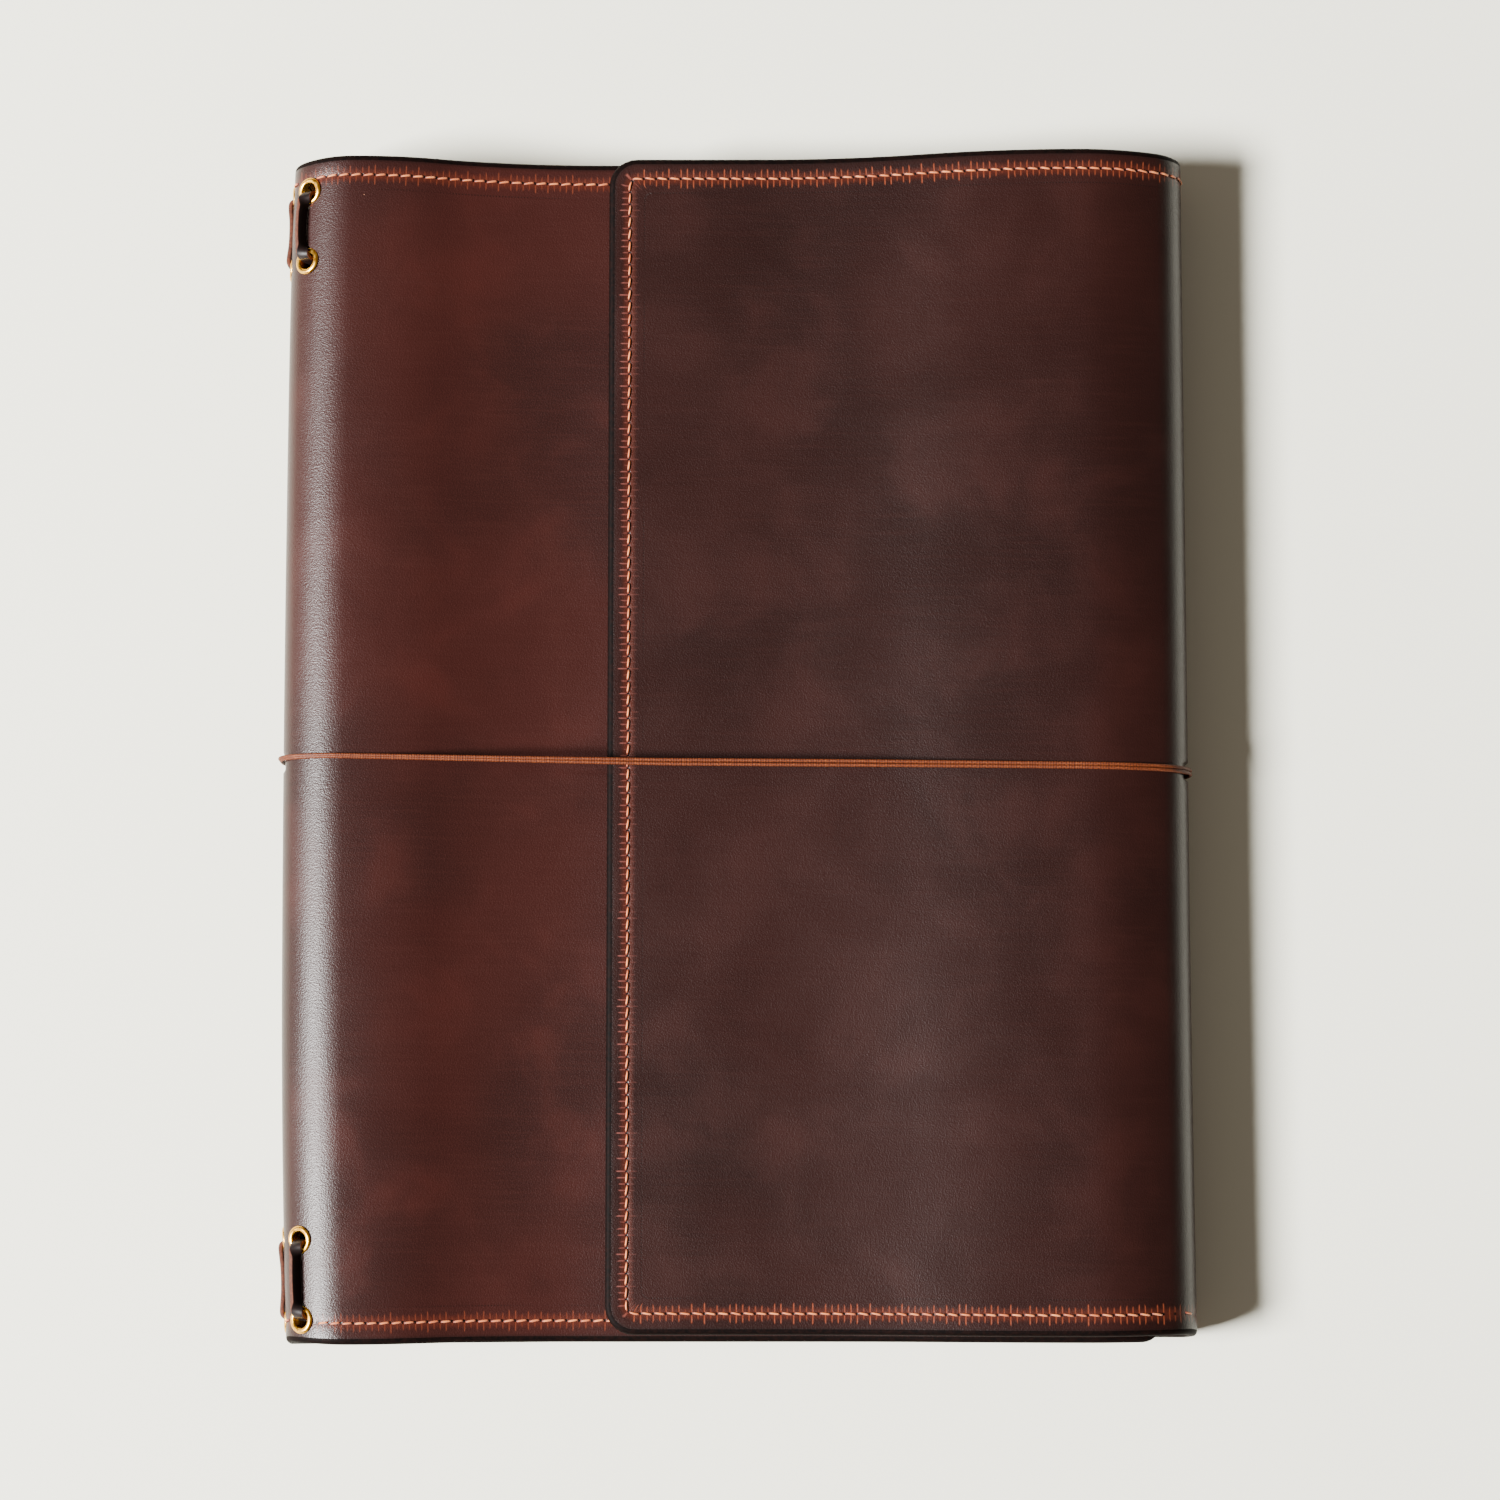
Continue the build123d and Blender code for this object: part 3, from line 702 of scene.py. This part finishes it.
def brass(name):
    n = Nodes(name)
    place = n.node("ShaderNodeTexCoord").outputs["Object"]
    worn = n.noise(place, 900.0, 3.0)
    color = n.mix(n.step(worn, 0.3, 0.7), srgb(222, 156, 42), srgb(244, 190, 78))
    return n.finish(color, n.step(worn, 0.3, 0.7, 0.24, 0.34), None, Metallic=1.0)


def lace_leather(name):
    """Dark waxed lace whose cut edges show tan leather."""
    n = Nodes(name)
    cut, along, _ = n.split(n.attribute("lace"))
    place = n.node("ShaderNodeTexCoord").outputs["Object"]
    fibre = n.noise(place, 1500.0, 4.0, 0.65)
    color = n.mix(n.step(fibre, 0.3, 0.75), srgb(22, 13, 13, 0.4), srgb(44, 24, 22, 0.4))
    edge = n.mix(n.step(fibre, 0.3, 0.7), srgb(92, 42, 26, 0.3), srgb(136, 70, 42, 0.35))
    color = n.mix(n.step(cut, 0.35, 0.8), color, edge)
    rough = n.step(cut, 0.3, 0.8, 0.46, 0.7)
    return n.finish(color, rough, n.bump(fibre, 0.00004, 0.5), Specular_IOR_Level=0.25)


def ribbed_elastic(name):
    """Covered elastic: fine ribs round the cord, russet, with painted shade in the valleys between the ribs,
    so each rib has a lighter crown.
    """
    n = Nodes(name)
    rib, turn, _ = n.split(n.attribute("cord"))
    crown = n.math("COSINE", n.math("MULTIPLY", rib, 2 * pi))
    weave = n.noise(n.node("ShaderNodeCombineXYZ", X=n.math("MULTIPLY", rib, 0.7),
                           Y=n.math("MULTIPLY", turn, 6.0)).outputs[0], 1.0, 2.0)
    # painted shade: dark in the rib valleys, light on the rib crowns
    color = n.mix(n.step(crown, -0.6, 0.7), srgb(70, 28, 12, 0.22), srgb(164, 76, 34, 0.32))
    color = n.mix(n.step(weave, 0.45, 0.7, 0.0, 0.45), color, srgb(204, 112, 58, 0.4))
    return n.finish(color, 0.55, n.bump(weave, 0.00006, 0.5), Specular_IOR_Level=0.25)


def card_board(name, dark, light):
    n = Nodes(name)
    place = n.node("ShaderNodeTexCoord").outputs["Object"]
    fibre = n.noise(place, 700.0, 5.0, 0.7)
    color = n.mix(n.step(fibre, 0.3, 0.7), dark, light)
    return n.finish(color, 0.82, n.bump(fibre, 0.00005, 0.5), IOR=1.3, Specular_IOR_Level=0.3)


def page_paper(name):
    """Cream paper; the cut faces of the block show each sheet."""
    n = Nodes(name)
    place = n.node("ShaderNodeTexCoord").outputs["Object"]
    layers = n.noise(n.scaled(place, (60.0, 60.0, 9000.0)), 1.0, 3.0, 0.7)
    color = n.mix(n.step(layers, 0.35, 0.65), srgb(206, 196, 172), srgb(240, 233, 214))
    return n.finish(color, 0.85, n.bump(layers, 0.00005, 0.5))


def binding_cloth(name, dark, light):
    n = Nodes(name)
    x, y, z = n.split(n.node("ShaderNodeTexCoord").outputs["Object"])
    warp = n.math("SINE", n.math("MULTIPLY", n.math("ADD", x, z), 2 * pi / 0.0007))
    weft = n.math("SINE", n.math("MULTIPLY", y, 2 * pi / 0.0007))
    weave = n.math("MULTIPLY", warp, weft)
    color = n.mix(n.step(weave, -0.6, 0.6), dark, light)
    return n.finish(color, 0.8, n.bump(weave, 0.00006, 0.7), Sheen_Weight=0.2)


def floor_paint(name):
    n = Nodes(name)
    place = n.node("ShaderNodeTexCoord").outputs["Object"]
    shade = n.noise(place, 3.0, 2.0)
    color = n.mix(n.step(shade, 0.3, 0.7), srgb(230, 229, 214), srgb(232, 231, 216))
    return n.finish(color, 0.9, Specular_IOR_Level=0.1)


edge = burnished_edge("burnished_edge")
cover_leather = hide_leather(
    "cover_leather", srgb(66, 33, 30, leather_dim), srgb(86, 39, 34, leather_dim),
    srgb(106, 45, 37, leather_dim), srgb(96, 50, 44, leather_dim), 0.3)
# painted shade: the flap and the fore-edge get a darker copy of the cover leather, for the side away from the
# window
flap_shaded_leather = hide_leather(
    "flap_leather_waxed", srgb(52, 24, 21, leather_dim), srgb(66, 30, 26, leather_dim),
    srgb(82, 36, 30, leather_dim), srgb(80, 42, 37, leather_dim), 0.62)
lining_hide = lining_leather("lining_hide", srgb(92, 44, 27, 0.36), srgb(122, 62, 38, 0.36))
sleeve_hide = lining_leather("sleeve_hide", srgb(76, 36, 24, 0.34), srgb(104, 50, 32, 0.34))
thread = waxed_thread("thread")
brass_metal = brass("brass_metal")
lace_hide = lace_leather("lace_hide")
elastic = ribbed_elastic("elastic")
cover_card = card_board("cover_card", srgb(30, 27, 26, 0.45), srgb(52, 46, 44, 0.45))
paper = page_paper("paper")
cloth = binding_cloth("cloth", srgb(28, 24, 24, 0.4), srgb(56, 48, 46, 0.4))
splice_cloth = binding_cloth("splice_cloth", srgb(70, 28, 12, 0.5), srgb(130, 60, 30, 0.5))

# ---- hide and lining --------------------------------------------------------------------------

hide_rim = [(10.0, 0), (7.6, 0), (6.7, 0), (6.1, 0.07), (5.5, 0.14), (4.9, 0.07), (4.2, 0),
            (2.4, -0.02), (1.5, 0.0), (1.0, 0.06), (0.6, 0.2), (0.28, 0.45), (0.08, 0.8),
            (0.0, 1.15), (0.03, 1.42), (0.16, 1.58), (0.8, 1.6), (10.0, 1.6)]
lining_rim = [(10.0, 1.62), (0.8, 1.62), (0.16, 1.64), (0.03, 1.8), (0.0, 2.05), (0.08, 2.35),
              (0.3, 2.62), (0.6, 2.77), (1.0, 2.83), (4.2, 2.85), (4.9, 2.8), (5.5, 2.74),
              (6.1, 2.8), (6.7, 2.85), (7.6, 2.85), (10.0, 2.85)]

parts = {
    "spine": (left, 0.0, wall_middle, 0.0, False),
    "front": (left, wall_middle, left.ends[-1], front_corner, True),
    "fore_edge": (right, 0.0, fold_end, 0.0, False),
    "flap": (right, fold_end, right.ends[-1], flap_corner, True),
}
panels, hides, linings = {}, {}, {}
for part, (branch, start, end, corner, free) in parts.items():
    # the darker copy, painted shade, goes on the flap and the fore-edge
    plain_or_shaded_leather = flap_shaded_leather if part in ("flap", "fore_edge") else cover_leather
    panels[part] = Panel(branch, start, end, hide_rim, corner, free, pressed=True)
    hides[part] = panels[part].build(f"hide_{part}", (plain_or_shaded_leather, edge))
    inner = Panel(branch, start, end, lining_rim, corner, free)
    linings[part] = inner.build(f"lining_{part}", (lining_hide, edge))

# ---- eyelets and their holes ------------------------------------------------------------------

shoulder_run = left.ends[5] - spine_crest * radians(shoulder_tilt)
eyelet_spots = {"shoulder": shoulder_run, "wall": wall_middle}
eyelet_rows = [middle + side * pitch / 2 for middle, pitch in lace_spans.values()
               for side in (-1, 1)]
pressed_in = {"shoulder": 0.05, "wall": 0.42}  # how deep the flange sits in the hide


def spot_axes(run, y):
    """Place on the outer face, and its directions: along the spine, round it, and outwards."""
    x, z, out_x, out_z = left.at(run, 0)
    place = np.array([float(x), y, float(z)])
    outward = np.array([float(out_x), 0.0, float(out_z)])
    along = np.array([0.0, 1.0, 0.0])
    return place, along, np.cross(outward, along), outward


def revolve(profile, place, along, around, outward, segments=40):
    """Points and faces of a closed profile (radius, height) turned about the outward axis."""
    angle = np.arange(segments) * 2 * pi / segments
    profile = np.array(profile)
    circle = np.cos(angle)[:, None] * along + np.sin(angle)[:, None] * around
    points = (place + profile[None, :, 0, None] * circle[:, None, :]
              + profile[None, :, 1, None] * outward)
    return points.reshape(-1, 3), tube_faces(segments, len(profile), closed=True)


eyelet_profile = [(2.2, -3.9), (2.2, -0.2), (2.2, 0.1), (2.26, 0.32), (2.42, 0.5), (2.68, 0.62),
                  (2.96, 0.64), (3.24, 0.56), (3.48, 0.4), (3.62, 0.18), (3.66, -0.02),
                  (3.5, -0.12), (2.55, -0.12), (2.5, -0.4), (2.5, -3.45), (2.72, -3.5),
                  (2.88, -3.68), (2.84, -3.92), (2.6, -4.05), (2.34, -4.03)]
washer_profile = [(2.52, -3.3), (3.3, -3.3), (3.48, -3.36), (3.52, -3.5), (3.5, -3.68),
                  (3.36, -3.78), (2.52, -3.8)]
tip_angle = radians(5.0)  # the lace pulls each pair of eyelets towards each other


def eyelet_piece(name, spot, profile, material):
    points, faces = [], []
    for row in eyelet_rows:
        place, along, around, outward = spot_axes(eyelet_spots[spot], row)
        middle, _ = min(lace_spans.values(), key=lambda span: abs(span[0] - row))
        tip = tip_angle * np.sign(middle - row)
        place = place - outward * pressed_in[spot]
        tipped = outward * cos(tip) + along * sin(tip)
        along = along * cos(tip) - outward * sin(tip)
        more, quads = revolve(profile, place, along, around, tipped)
        start = sum(len(chunk) for chunk in points)
        points.append(more)
        faces += [[vert + start for vert in quad] for quad in quads]
    return new_object(name, np.concatenate(points), faces, None, material)


def drill(obj, spots):
    """Cuts the eyelets' holes through a layer of the hide."""
    points, faces = [], []
    profile = [(0.001, -5.0), (2.5, -5.0), (2.5, 2.0), (0.001, 2.0)]
    for spot in spots:
        for row in eyelet_rows:
            more, quads = revolve(profile, *spot_axes(eyelet_spots[spot], row), segments=32)
            start = sum(len(chunk) for chunk in points)
            points.append(more)
            faces += [[vert + start for vert in quad] for quad in quads]
    cutter = new_object("cutter", np.concatenate(points), faces)
    modifier = obj.modifiers.new("holes", "BOOLEAN")
    modifier.object, modifier.operation, modifier.solver = cutter, "DIFFERENCE", "EXACT"
    bpy.context.view_layer.update()
    depsgraph = bpy.context.evaluated_depsgraph_get()
    cut = bpy.data.meshes.new_from_object(obj.evaluated_get(depsgraph))
    obj.modifiers.clear()
    obj.data = cut
    bpy.data.objects.remove(cutter)


for layer in (hides, linings):
    drill(layer["front"], ["shoulder"])
    drill(layer["front"], ["wall"])
    drill(layer["spine"], ["wall"])

eyelets = {spot: eyelet_piece(f"eyelets_{spot}", spot, eyelet_profile, brass_metal)
           for spot in eyelet_spots}
washers = {spot: eyelet_piece(f"washers_{spot}", spot, washer_profile, brass_metal)
           for spot in eyelet_spots}

# ---- seams ------------------------------------------------------------------------------------

flange_clearance = 4.5
skipped = [(run, row, flange_clearance) for run in eyelet_spots.values() for row in eyelet_rows]
seam_threads, inner_threads = {}, {}
for part, panel in panels.items():
    seam_threads[part] = stitches(f"stitches_{part}", panel, thread, skip=skipped,
                                  proud=1.0 if part in ("front", "flap") else 0.35)
    inner_threads[part] = stitches(f"inner_stitches_{part}", panel, thread, inner=True,
                                   skip=skipped, proud=0.5)

# ---- laces ------------------------------------------------------------------------------------


def smooth_path(corners, count):
    """Even points on a smooth curve through the corners, as a quadratic spline of their middles."""
    corners = np.array(corners, float)
    for _ in range(4):
        cut = np.empty((2 * len(corners) - 2, corners.shape[1]))
        cut[0::2] = 0.75 * corners[:-1] + 0.25 * corners[1:]
        cut[1::2] = 0.25 * corners[:-1] + 0.75 * corners[1:]
        cut[0], cut[-1] = corners[0], corners[-1]
        corners = cut
    steps = np.concatenate([[0], np.cumsum(np.linalg.norm(np.diff(corners, axis=0), axis=1))])
    where = np.linspace(0, steps[-1], count)
    return np.stack([np.interp(where, steps, corners[:, axis]) for axis in range(3)], 1)


def strap(path, wide, width=lace_width, thickness=lace_thickness):
    """Flat strap along a path: wide is the direction across it."""
    outline = []
    bevel = 0.3
    half, up = width / 2, thickness / 2
    for sign_w, sign_h in ((1, 1), (-1, 1), (-1, -1), (1, -1)):
        near = [(sign_w * half, sign_h * (up - bevel), 1.0), (sign_w * (half - 0.09),
                sign_h * (up - 0.09), 0.8), (sign_w * (half - bevel), sign_h * up, 0.0)]
        outline += near if sign_w * sign_h > 0 else near[::-1]
    outline = np.array(outline)
    ahead = np.gradient(path, axis=0)
    ahead /= np.linalg.norm(ahead, axis=1)[:, None]
    high = np.cross(ahead, np.asarray(wide, float))
    high /= np.linalg.norm(high, axis=1)[:, None]
    across = np.cross(high, ahead)
    points = (path[:, None, :] + outline[None, :, 0, None] * across[:, None, :]
              + outline[None, :, 1, None] * high[:, None, :])
    cut = np.tile(outline[:, 2], len(path))
    along = np.repeat(np.arange(len(path), dtype=float), len(outline))
    return (points.reshape(-1, 3), tube_faces(len(path), len(outline)),
            np.stack([cut, along, 0 * cut], 1))


leg_depth, tie_depth = 4.2, 4.9
bridge_heights = {"shoulder": (1.3, 1.95), "wall": (0.95, 0.42)}  # over the eyelet, and between
bridge_turns = {"shoulder": 84.0, "wall": 0.0}  # the lace twists to stand on edge in between
bridge_sway = {"head_lace": 1.1, "foot_lace": 0.2}  # over the shoulder, towards the wall


def lace_bridge(lace, spot):
    """The stretch of lace outside a pair of eyelets, with its two legs through them."""
    middle, pitch = lace_spans[lace]
    sway = bridge_sway[lace] if spot == "shoulder" else 0.0
    place, along, around, outward = spot_axes(eyelet_spots[spot], middle)
    half = pitch / 2
    rim, mid = bridge_heights[spot]
    between = (rim + mid) / 2 + 0.15
    upper_half = [(3.0, mid), (half - 3.4, between), (half - 1.4, rim), (half - 0.6, 0.2),
                  (half - 0.3, -2.0), (half - 0.2, -leg_depth - 0.5)]
    shape = [(-y, height) for y, height in upper_half[::-1]] + upper_half
    down = around * np.sign(-around[2]) if spot == "shoulder" else around
    corners = [place + along * y + outward * height
               + down * sway * np.clip(1 - (y / half) ** 2, 0, 1)
               for y, height in shape]
    path = smooth_path(corners, 90)
    reach = np.abs((path - place) @ along) / half
    share = np.clip((0.92 - reach) / 0.4, 0, 1)
    turn = radians(bridge_turns[spot]) * share * share * (3 - 2 * share)
    wide = np.cos(turn)[:, None] * down + np.sin(turn)[:, None] * outward
    points, faces, cut = strap(path, wide)
    return new_object(f"{lace}_{spot}", points, faces, {"lace": cut}, lace_hide)


def lace_ties(name, span):
    """The two stretches inside, between the shoulder's and the wall's eyelets."""
    points, faces, laces = [], [], []
    middle, pitch = span
    for side in (-1, 1):
        y = middle + side * (pitch / 2 - 0.2)
        corners = []
        for run in np.linspace(wall_middle - 1.6, shoulder_run + 1.6, 7):
            x, z, _, _ = left.at(run, tie_depth)
            corners.append((float(x), y, float(z)))
        more, quads, lace = strap(smooth_path(corners, 24), (0, 1, 0))
        start = sum(len(chunk) for chunk in points)
        points.append(more)
        laces.append(lace)
        faces += [[vert + start for vert in quad] for quad in quads]
    return new_object(name, np.concatenate(points), faces, {"lace": np.concatenate(laces)},
                      lace_hide)


bridges = {(name, spot): lace_bridge(name, spot) for name in lace_spans for spot in eyelet_spots}
ties = {name: lace_ties(f"{name}_ties", span) for name, span in lace_spans.items()}

# ---- elastic band -----------------------------------------------------------------------------

cord_gap = 0.05
rib_pitch = 0.42
rib_height = 0.045
overlap = 0.9  # how far the second turn lies outside the first, round the spine


def band_loop(side):
    """One turn of the band as a closed ribbed cord; its two turns overlap at the spine."""
    offset = cord_radius + cord_gap
    # the arcs keep their centres, so the cord lies its own radius outside the hide at the ridges
    runs = [(back_half_width + 2 * offset, 0), (fold_radius - offset, 90.0),
            (fore_side + offset, 90.0 - flap_crest_turn), (flap_crest + offset, flap_crest_turn),
            (2 * (back_half_width + fold_radius) - spine_crest_reach - flap_crest_reach, 0),
            (spine_crest + offset, spine_crest_turn), (spine_side + offset, 90.0 - spine_crest_turn),
            (spine_wall, 0), (fold_radius - offset, 90.0), (back_half_width + 2 * offset, 0)]
    point, heading = (0.0, offset), 0.0
    xs, zs = [], []
    for size, turn in runs:
        length = size * radians(turn) if turn else size
        shares = np.linspace(0, 1, max(2, ceil(length / 0.4)), endpoint=False)
        if turn:
            x, z = travel(point, heading, size, turn * shares + 1e-9)
            end_x, end_z = travel(point, heading, size, np.array([turn]))
        else:
            x = point[0] + size * shares * cos(radians(heading))
            z = point[1] + size * shares * sin(radians(heading))
            end_x = [point[0] + size * cos(radians(heading))]
            end_z = [point[1] + size * sin(radians(heading))]
        xs.append(x)
        zs.append(z)
        point, heading = (float(end_x[0]), float(end_z[0])), heading + turn
    x, z = np.concatenate(xs), np.concatenate(zs)
    round_x, round_z = np.append(x, x[0]), np.append(z, z[0])
    steps = np.concatenate([[0], np.cumsum(np.hypot(np.diff(round_x), np.diff(round_z)))])
    ribs = round(steps[-1] / rib_pitch)
    where = np.linspace(0, steps[-1], 3 * ribs, endpoint=False)
    x, z = np.interp(where, steps, round_x), np.interp(where, steps, round_z)
    upper = np.clip((z - 4) / 6, 0, 1)
    upper = upper * upper * (3 - 2 * upper)
    at_spine = np.clip((-x - 20) / 100, 0, 1) * upper
    # the turns lie side by side at the fore-edge and over each other at the spine
    apart = 0.55 + upper * (np.interp(x, [-119, -80, 0, 100], [0.3, 0.36, 0.42, 0.58]) - 0.55)
    y = cord_y + np.tan(radians(cord_skew)) * x + side * apart
    y += 0.12 * np.sin(x / 31 + side) * upper + 1.0 * at_spine
    over = np.sqrt(np.clip(cord_radius ** 2 - apart ** 2, 0, 1)) * overlap * upper
    slope = np.clip((-x - 95) / 20, 0, 1)
    if side > 0:
        z = z + over * (1 - slope)
        x = x - over * slope
    path = np.stack([x, y, z], 1)
    sides = 10
    ahead = np.roll(path, -1, 0) - np.roll(path, 1, 0)
    ahead /= np.linalg.norm(ahead, axis=1)[:, None]
    across = np.tile([0.0, 1.0, 0.0], (len(path), 1))
    high = np.cross(ahead, across)
    high /= np.linalg.norm(high, axis=1)[:, None]
    across = np.cross(high, ahead)
    angle = np.arange(sides) * 2 * pi / sides
    swell = cord_radius - rib_height * (np.arange(len(path)) % 3 == 0)
    ring = (np.cos(angle)[None, :, None] * across[:, None, :]
            + np.sin(angle)[None, :, None] * high[:, None, :])
    points = path[:, None, :] + swell[:, None, None] * ring
    rib = np.repeat(np.arange(len(path)) / 3 + 0.5, sides)
    turn = np.tile(angle / (2 * pi), len(path))
    return (points.reshape(-1, 3), tube_faces(len(path), sides, closed=True),
            np.stack([rib, turn, 0 * rib], 1))


strands = [band_loop(-1), band_loop(1)]
shift = len(strands[0][0])
band = new_object(
    "elastic_band", np.concatenate([strands[0][0], strands[1][0]]),
    strands[0][1] + [[vert + shift for vert in quad] for quad in strands[1][1]],
    {"cord": np.concatenate([strands[0][2], strands[1][2]])}, elastic)

# ---- sleeves ----------------------------------------------------------------------------------

front_mouth = left.run_at_x(-12.0)
front_sleeve_rim = [(10.0, 2.9), (1.6, 2.9), (1.45, 2.96), (1.4, 3.3), (1.5, 3.6), (1.8, 3.78),
                    (4.2, 3.8), (4.9, 3.76), (5.5, 3.7), (6.1, 3.76), (6.7, 3.8), (10.0, 3.8)]
back_sleeve_rim = [(10.0, 4.35), (2.2, 4.35), (1.45, 4.25), (1.15, 3.8), (0.9, 2.92), (0.06, 2.92),
                   (0.1, 3.1), (0.3, 3.6), (0.42, 4.5), (0.8, 5.02), (1.5, 5.23), (10.0, 5.25)]
sleeve_panels = {
    "front_sleeve": Panel(left, front_mouth, left.ends[-1], front_sleeve_rim, front_corner, True),
    "back_sleeve": Panel(right, 16.0, back_half_width - 0.2, back_sleeve_rim, 3.0, True,
                         reach=152.0),
}
sleeves = {name: panel.build(f"{name}_leather", (sleeve_hide, sleeve_hide))
           for name, panel in sleeve_panels.items()}
sleeve_thread = stitches("front_sleeve_stitches", sleeve_panels["front_sleeve"], thread,
                         inner=True, proud=0.5, level=3.8)

# ---- notebook ---------------------------------------------------------------------------------


def slab(left_x, right_x, half_height, bottom, top, corner, soften):
    """Board or sheet with rounded fore-edge corners and softened edges."""
    steps = 6
    angle = np.linspace(0, pi / 2, steps + 1)
    rings = []
    for inset, height in ((soften, bottom), (0.3 * soften, bottom + 0.3 * soften),
                          (0.0, bottom + soften), (0.0, top - soften),
                          (0.3 * soften, top - 0.3 * soften), (soften, top)):
        radius = max(corner - inset, 0.05)
        x1, x0, y1 = right_x - inset, left_x + inset, half_height - inset
        lower = [(x1 - radius + radius * sin(a), -y1 + radius - radius * cos(a)) for a in angle]
        upper = [(x1 - radius + radius * cos(a), y1 - radius + radius * sin(a)) for a in angle]
        rings.append([(x, y, height) for x, y in [(x0, -y1)] + lower + upper + [(x0, y1)]])
    points = np.array(rings).reshape(-1, 3)
    return points, tube_faces(len(rings), len(rings[0]))


def notebook_piece(name, node, material, sheets, corner, soften):
    """One or more slabs in the box of a CAD node; sheets is how many even slabs split its height, slipped a
    little when there are several.
    """
    low, high = (np.array(corner_) / MM for corner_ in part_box(node))
    points, faces = [], []
    edges = np.linspace(low[2], high[2], sheets + 1)
    for number in range(sheets):
        slip = rng.uniform(-0.22, 0.0) if sheets > 1 else 0.0
        more, quads = slab(low[0], high[0] + slip, (high[1] - low[1]) / 2 + slip, edges[number],
                           edges[number + 1] - (0.03 if sheets > 1 else 0), corner, soften)
        start = sum(len(chunk) for chunk in points)
        points.append(more)
        faces += [[vert + start for vert in quad] for quad in quads]
    made = new_object(name, np.concatenate(points), faces, None, material)
    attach(made, "back")
    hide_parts(node)
    return made


notebook_piece("notebook_back_board", "notebook_back_cover", cover_card, 1, 5.0, 0.2)
notebook_piece("notebook_front_board", "notebook_front_cover", cover_card, 1, 5.0, 0.2)
notebook_piece("notebook_page_block", "notebook_pages", paper, 56, 5.0, 0.03)
for piece in frame["nodes"].values() if isinstance(frame["nodes"], dict) else frame["nodes"]:
    found = piece if hasattr(piece, "data") else bpy.data.objects.get(str(piece))
    if found and "notebook_spine_tape" in found.name:
        found.data.materials.clear()
        found.data.materials.append(cloth)
    if found and "cord_splice" in found.name:
        found.data.materials.clear()
        found.data.materials.append(splice_cloth)

# ---- what moves with what ---------------------------------------------------------------------


def metres(x, z):
    return (x * MM, 0.0, z * MM)


folds = {
    "spine": ("back", "spine", metres(-105.0, 0.0), metres(-117.7, 14.1)),
    "front": ("spine", "front_cover", metres(-117.1, 16.8), metres(-100.0, 29.0)),
    "fore_edge": ("back", "fore_edge", metres(105.0, 0.0), metres(117.7, 12.7)),
    "flap": ("fore_edge", "flap", metres(117.2, 15.9), metres(107.0, 29.5)),
}
nodes = {
    "spine": ("spine_leather", "back_cover_leather"),
    "front": ("front_cover_leather",),
    "fore_edge": ("fore_edge_leather",),
    "flap": ("flap_leather",),
}
for part, fold in folds.items():
    for piece in (hides[part], linings[part], seam_threads[part], inner_threads[part]):
        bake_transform(piece)
    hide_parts(*nodes[part])
    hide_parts(*[node.replace("leather", "lining") for node in nodes[part]])
    threads = [node.replace("_cover", "") if part == "spine" else node for node in nodes[part]]
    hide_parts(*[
        node.replace("front_cover", "front").replace("leather", "seam_thread")
        for node in threads])


def ride_fold(piece):
    """Bakes the piece's place into its mesh."""
    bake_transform(piece)


for piece in [eyelets["shoulder"], washers["shoulder"]] + [
        bridges[(name, "shoulder")] for name in lace_spans]:
    ride_fold(piece)
for piece in [eyelets["wall"], washers["wall"]] + [bridges[(name, "wall")] for name in lace_spans]:
    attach(piece, "spine")
for name, piece in ties.items():
    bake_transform(piece)
    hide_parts(name)
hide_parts("spine_eyelets")
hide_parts("eyelet_washers")

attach(sleeves["front_sleeve"], "front_cover")
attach(sleeve_thread, "front_cover")
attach(sleeves["back_sleeve"], "back")
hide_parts("front_sleeve")
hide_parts("back_sleeve")

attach(band, "closure")
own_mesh(band)
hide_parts("elastic_closure_cord")

# ---- floor, light and camera ------------------------------------------------------------------

floor = bpy.data.objects.new("floor", bpy.data.meshes.new("floor"))
floor_half = 6.0
floor.data.from_pydata(
    [(-floor_half, -floor_half, 0), (floor_half, -floor_half, 0), (floor_half, floor_half, 0),
     (-floor_half, floor_half, 0)], [], [(0, 1, 2, 3)])
floor.data.materials.append(floor_paint("floor_paint"))
floor.location.z = -0.0002
bpy.context.scene.collection.objects.link(floor)


def area_light(name, place, target, size, power, color):
    data = bpy.data.lights.new(name, "AREA")
    data.shape, data.size, data.size_y = "RECTANGLE", size[0], size[1]
    data.energy, data.color = power, color
    light = bpy.data.objects.new(name, data)
    light.location = place
    aim = Vector(target) - Vector(place)
    light.rotation_euler = aim.to_track_quat("-Z", "Y").to_euler()
    bpy.context.scene.collection.objects.link(light)


area_light("window", (-2.53, -0.62, 2.28), (0, 0, 0), (1.05, 0.8), 765.0, (1.0, 0.99, 0.97))

world = bpy.data.worlds.new("room")
world.use_nodes = True
world.node_tree.nodes["Background"].inputs["Color"].default_value = (1.0, 0.86, 0.71, 1.0)
world.node_tree.nodes["Background"].inputs["Strength"].default_value = 0.2
bpy.context.scene.world = world

view_distance, view_tilt, view_target = 1.180, radians(7.25), Vector((0.0032, 0.00035, 0.0))
camera_data = bpy.data.cameras.new("camera")
camera_data.sensor_width, camera_data.lens = 36.0, 105.72
camera = bpy.data.objects.new("camera", camera_data)
camera.location = view_target + view_distance * Vector((0, -sin(view_tilt), cos(view_tilt)))
camera.rotation_euler = (view_tilt, 0.0, 0.0)
camera_data.clip_end = 50.0
bpy.context.scene.collection.objects.link(camera)
bpy.context.scene.camera = camera
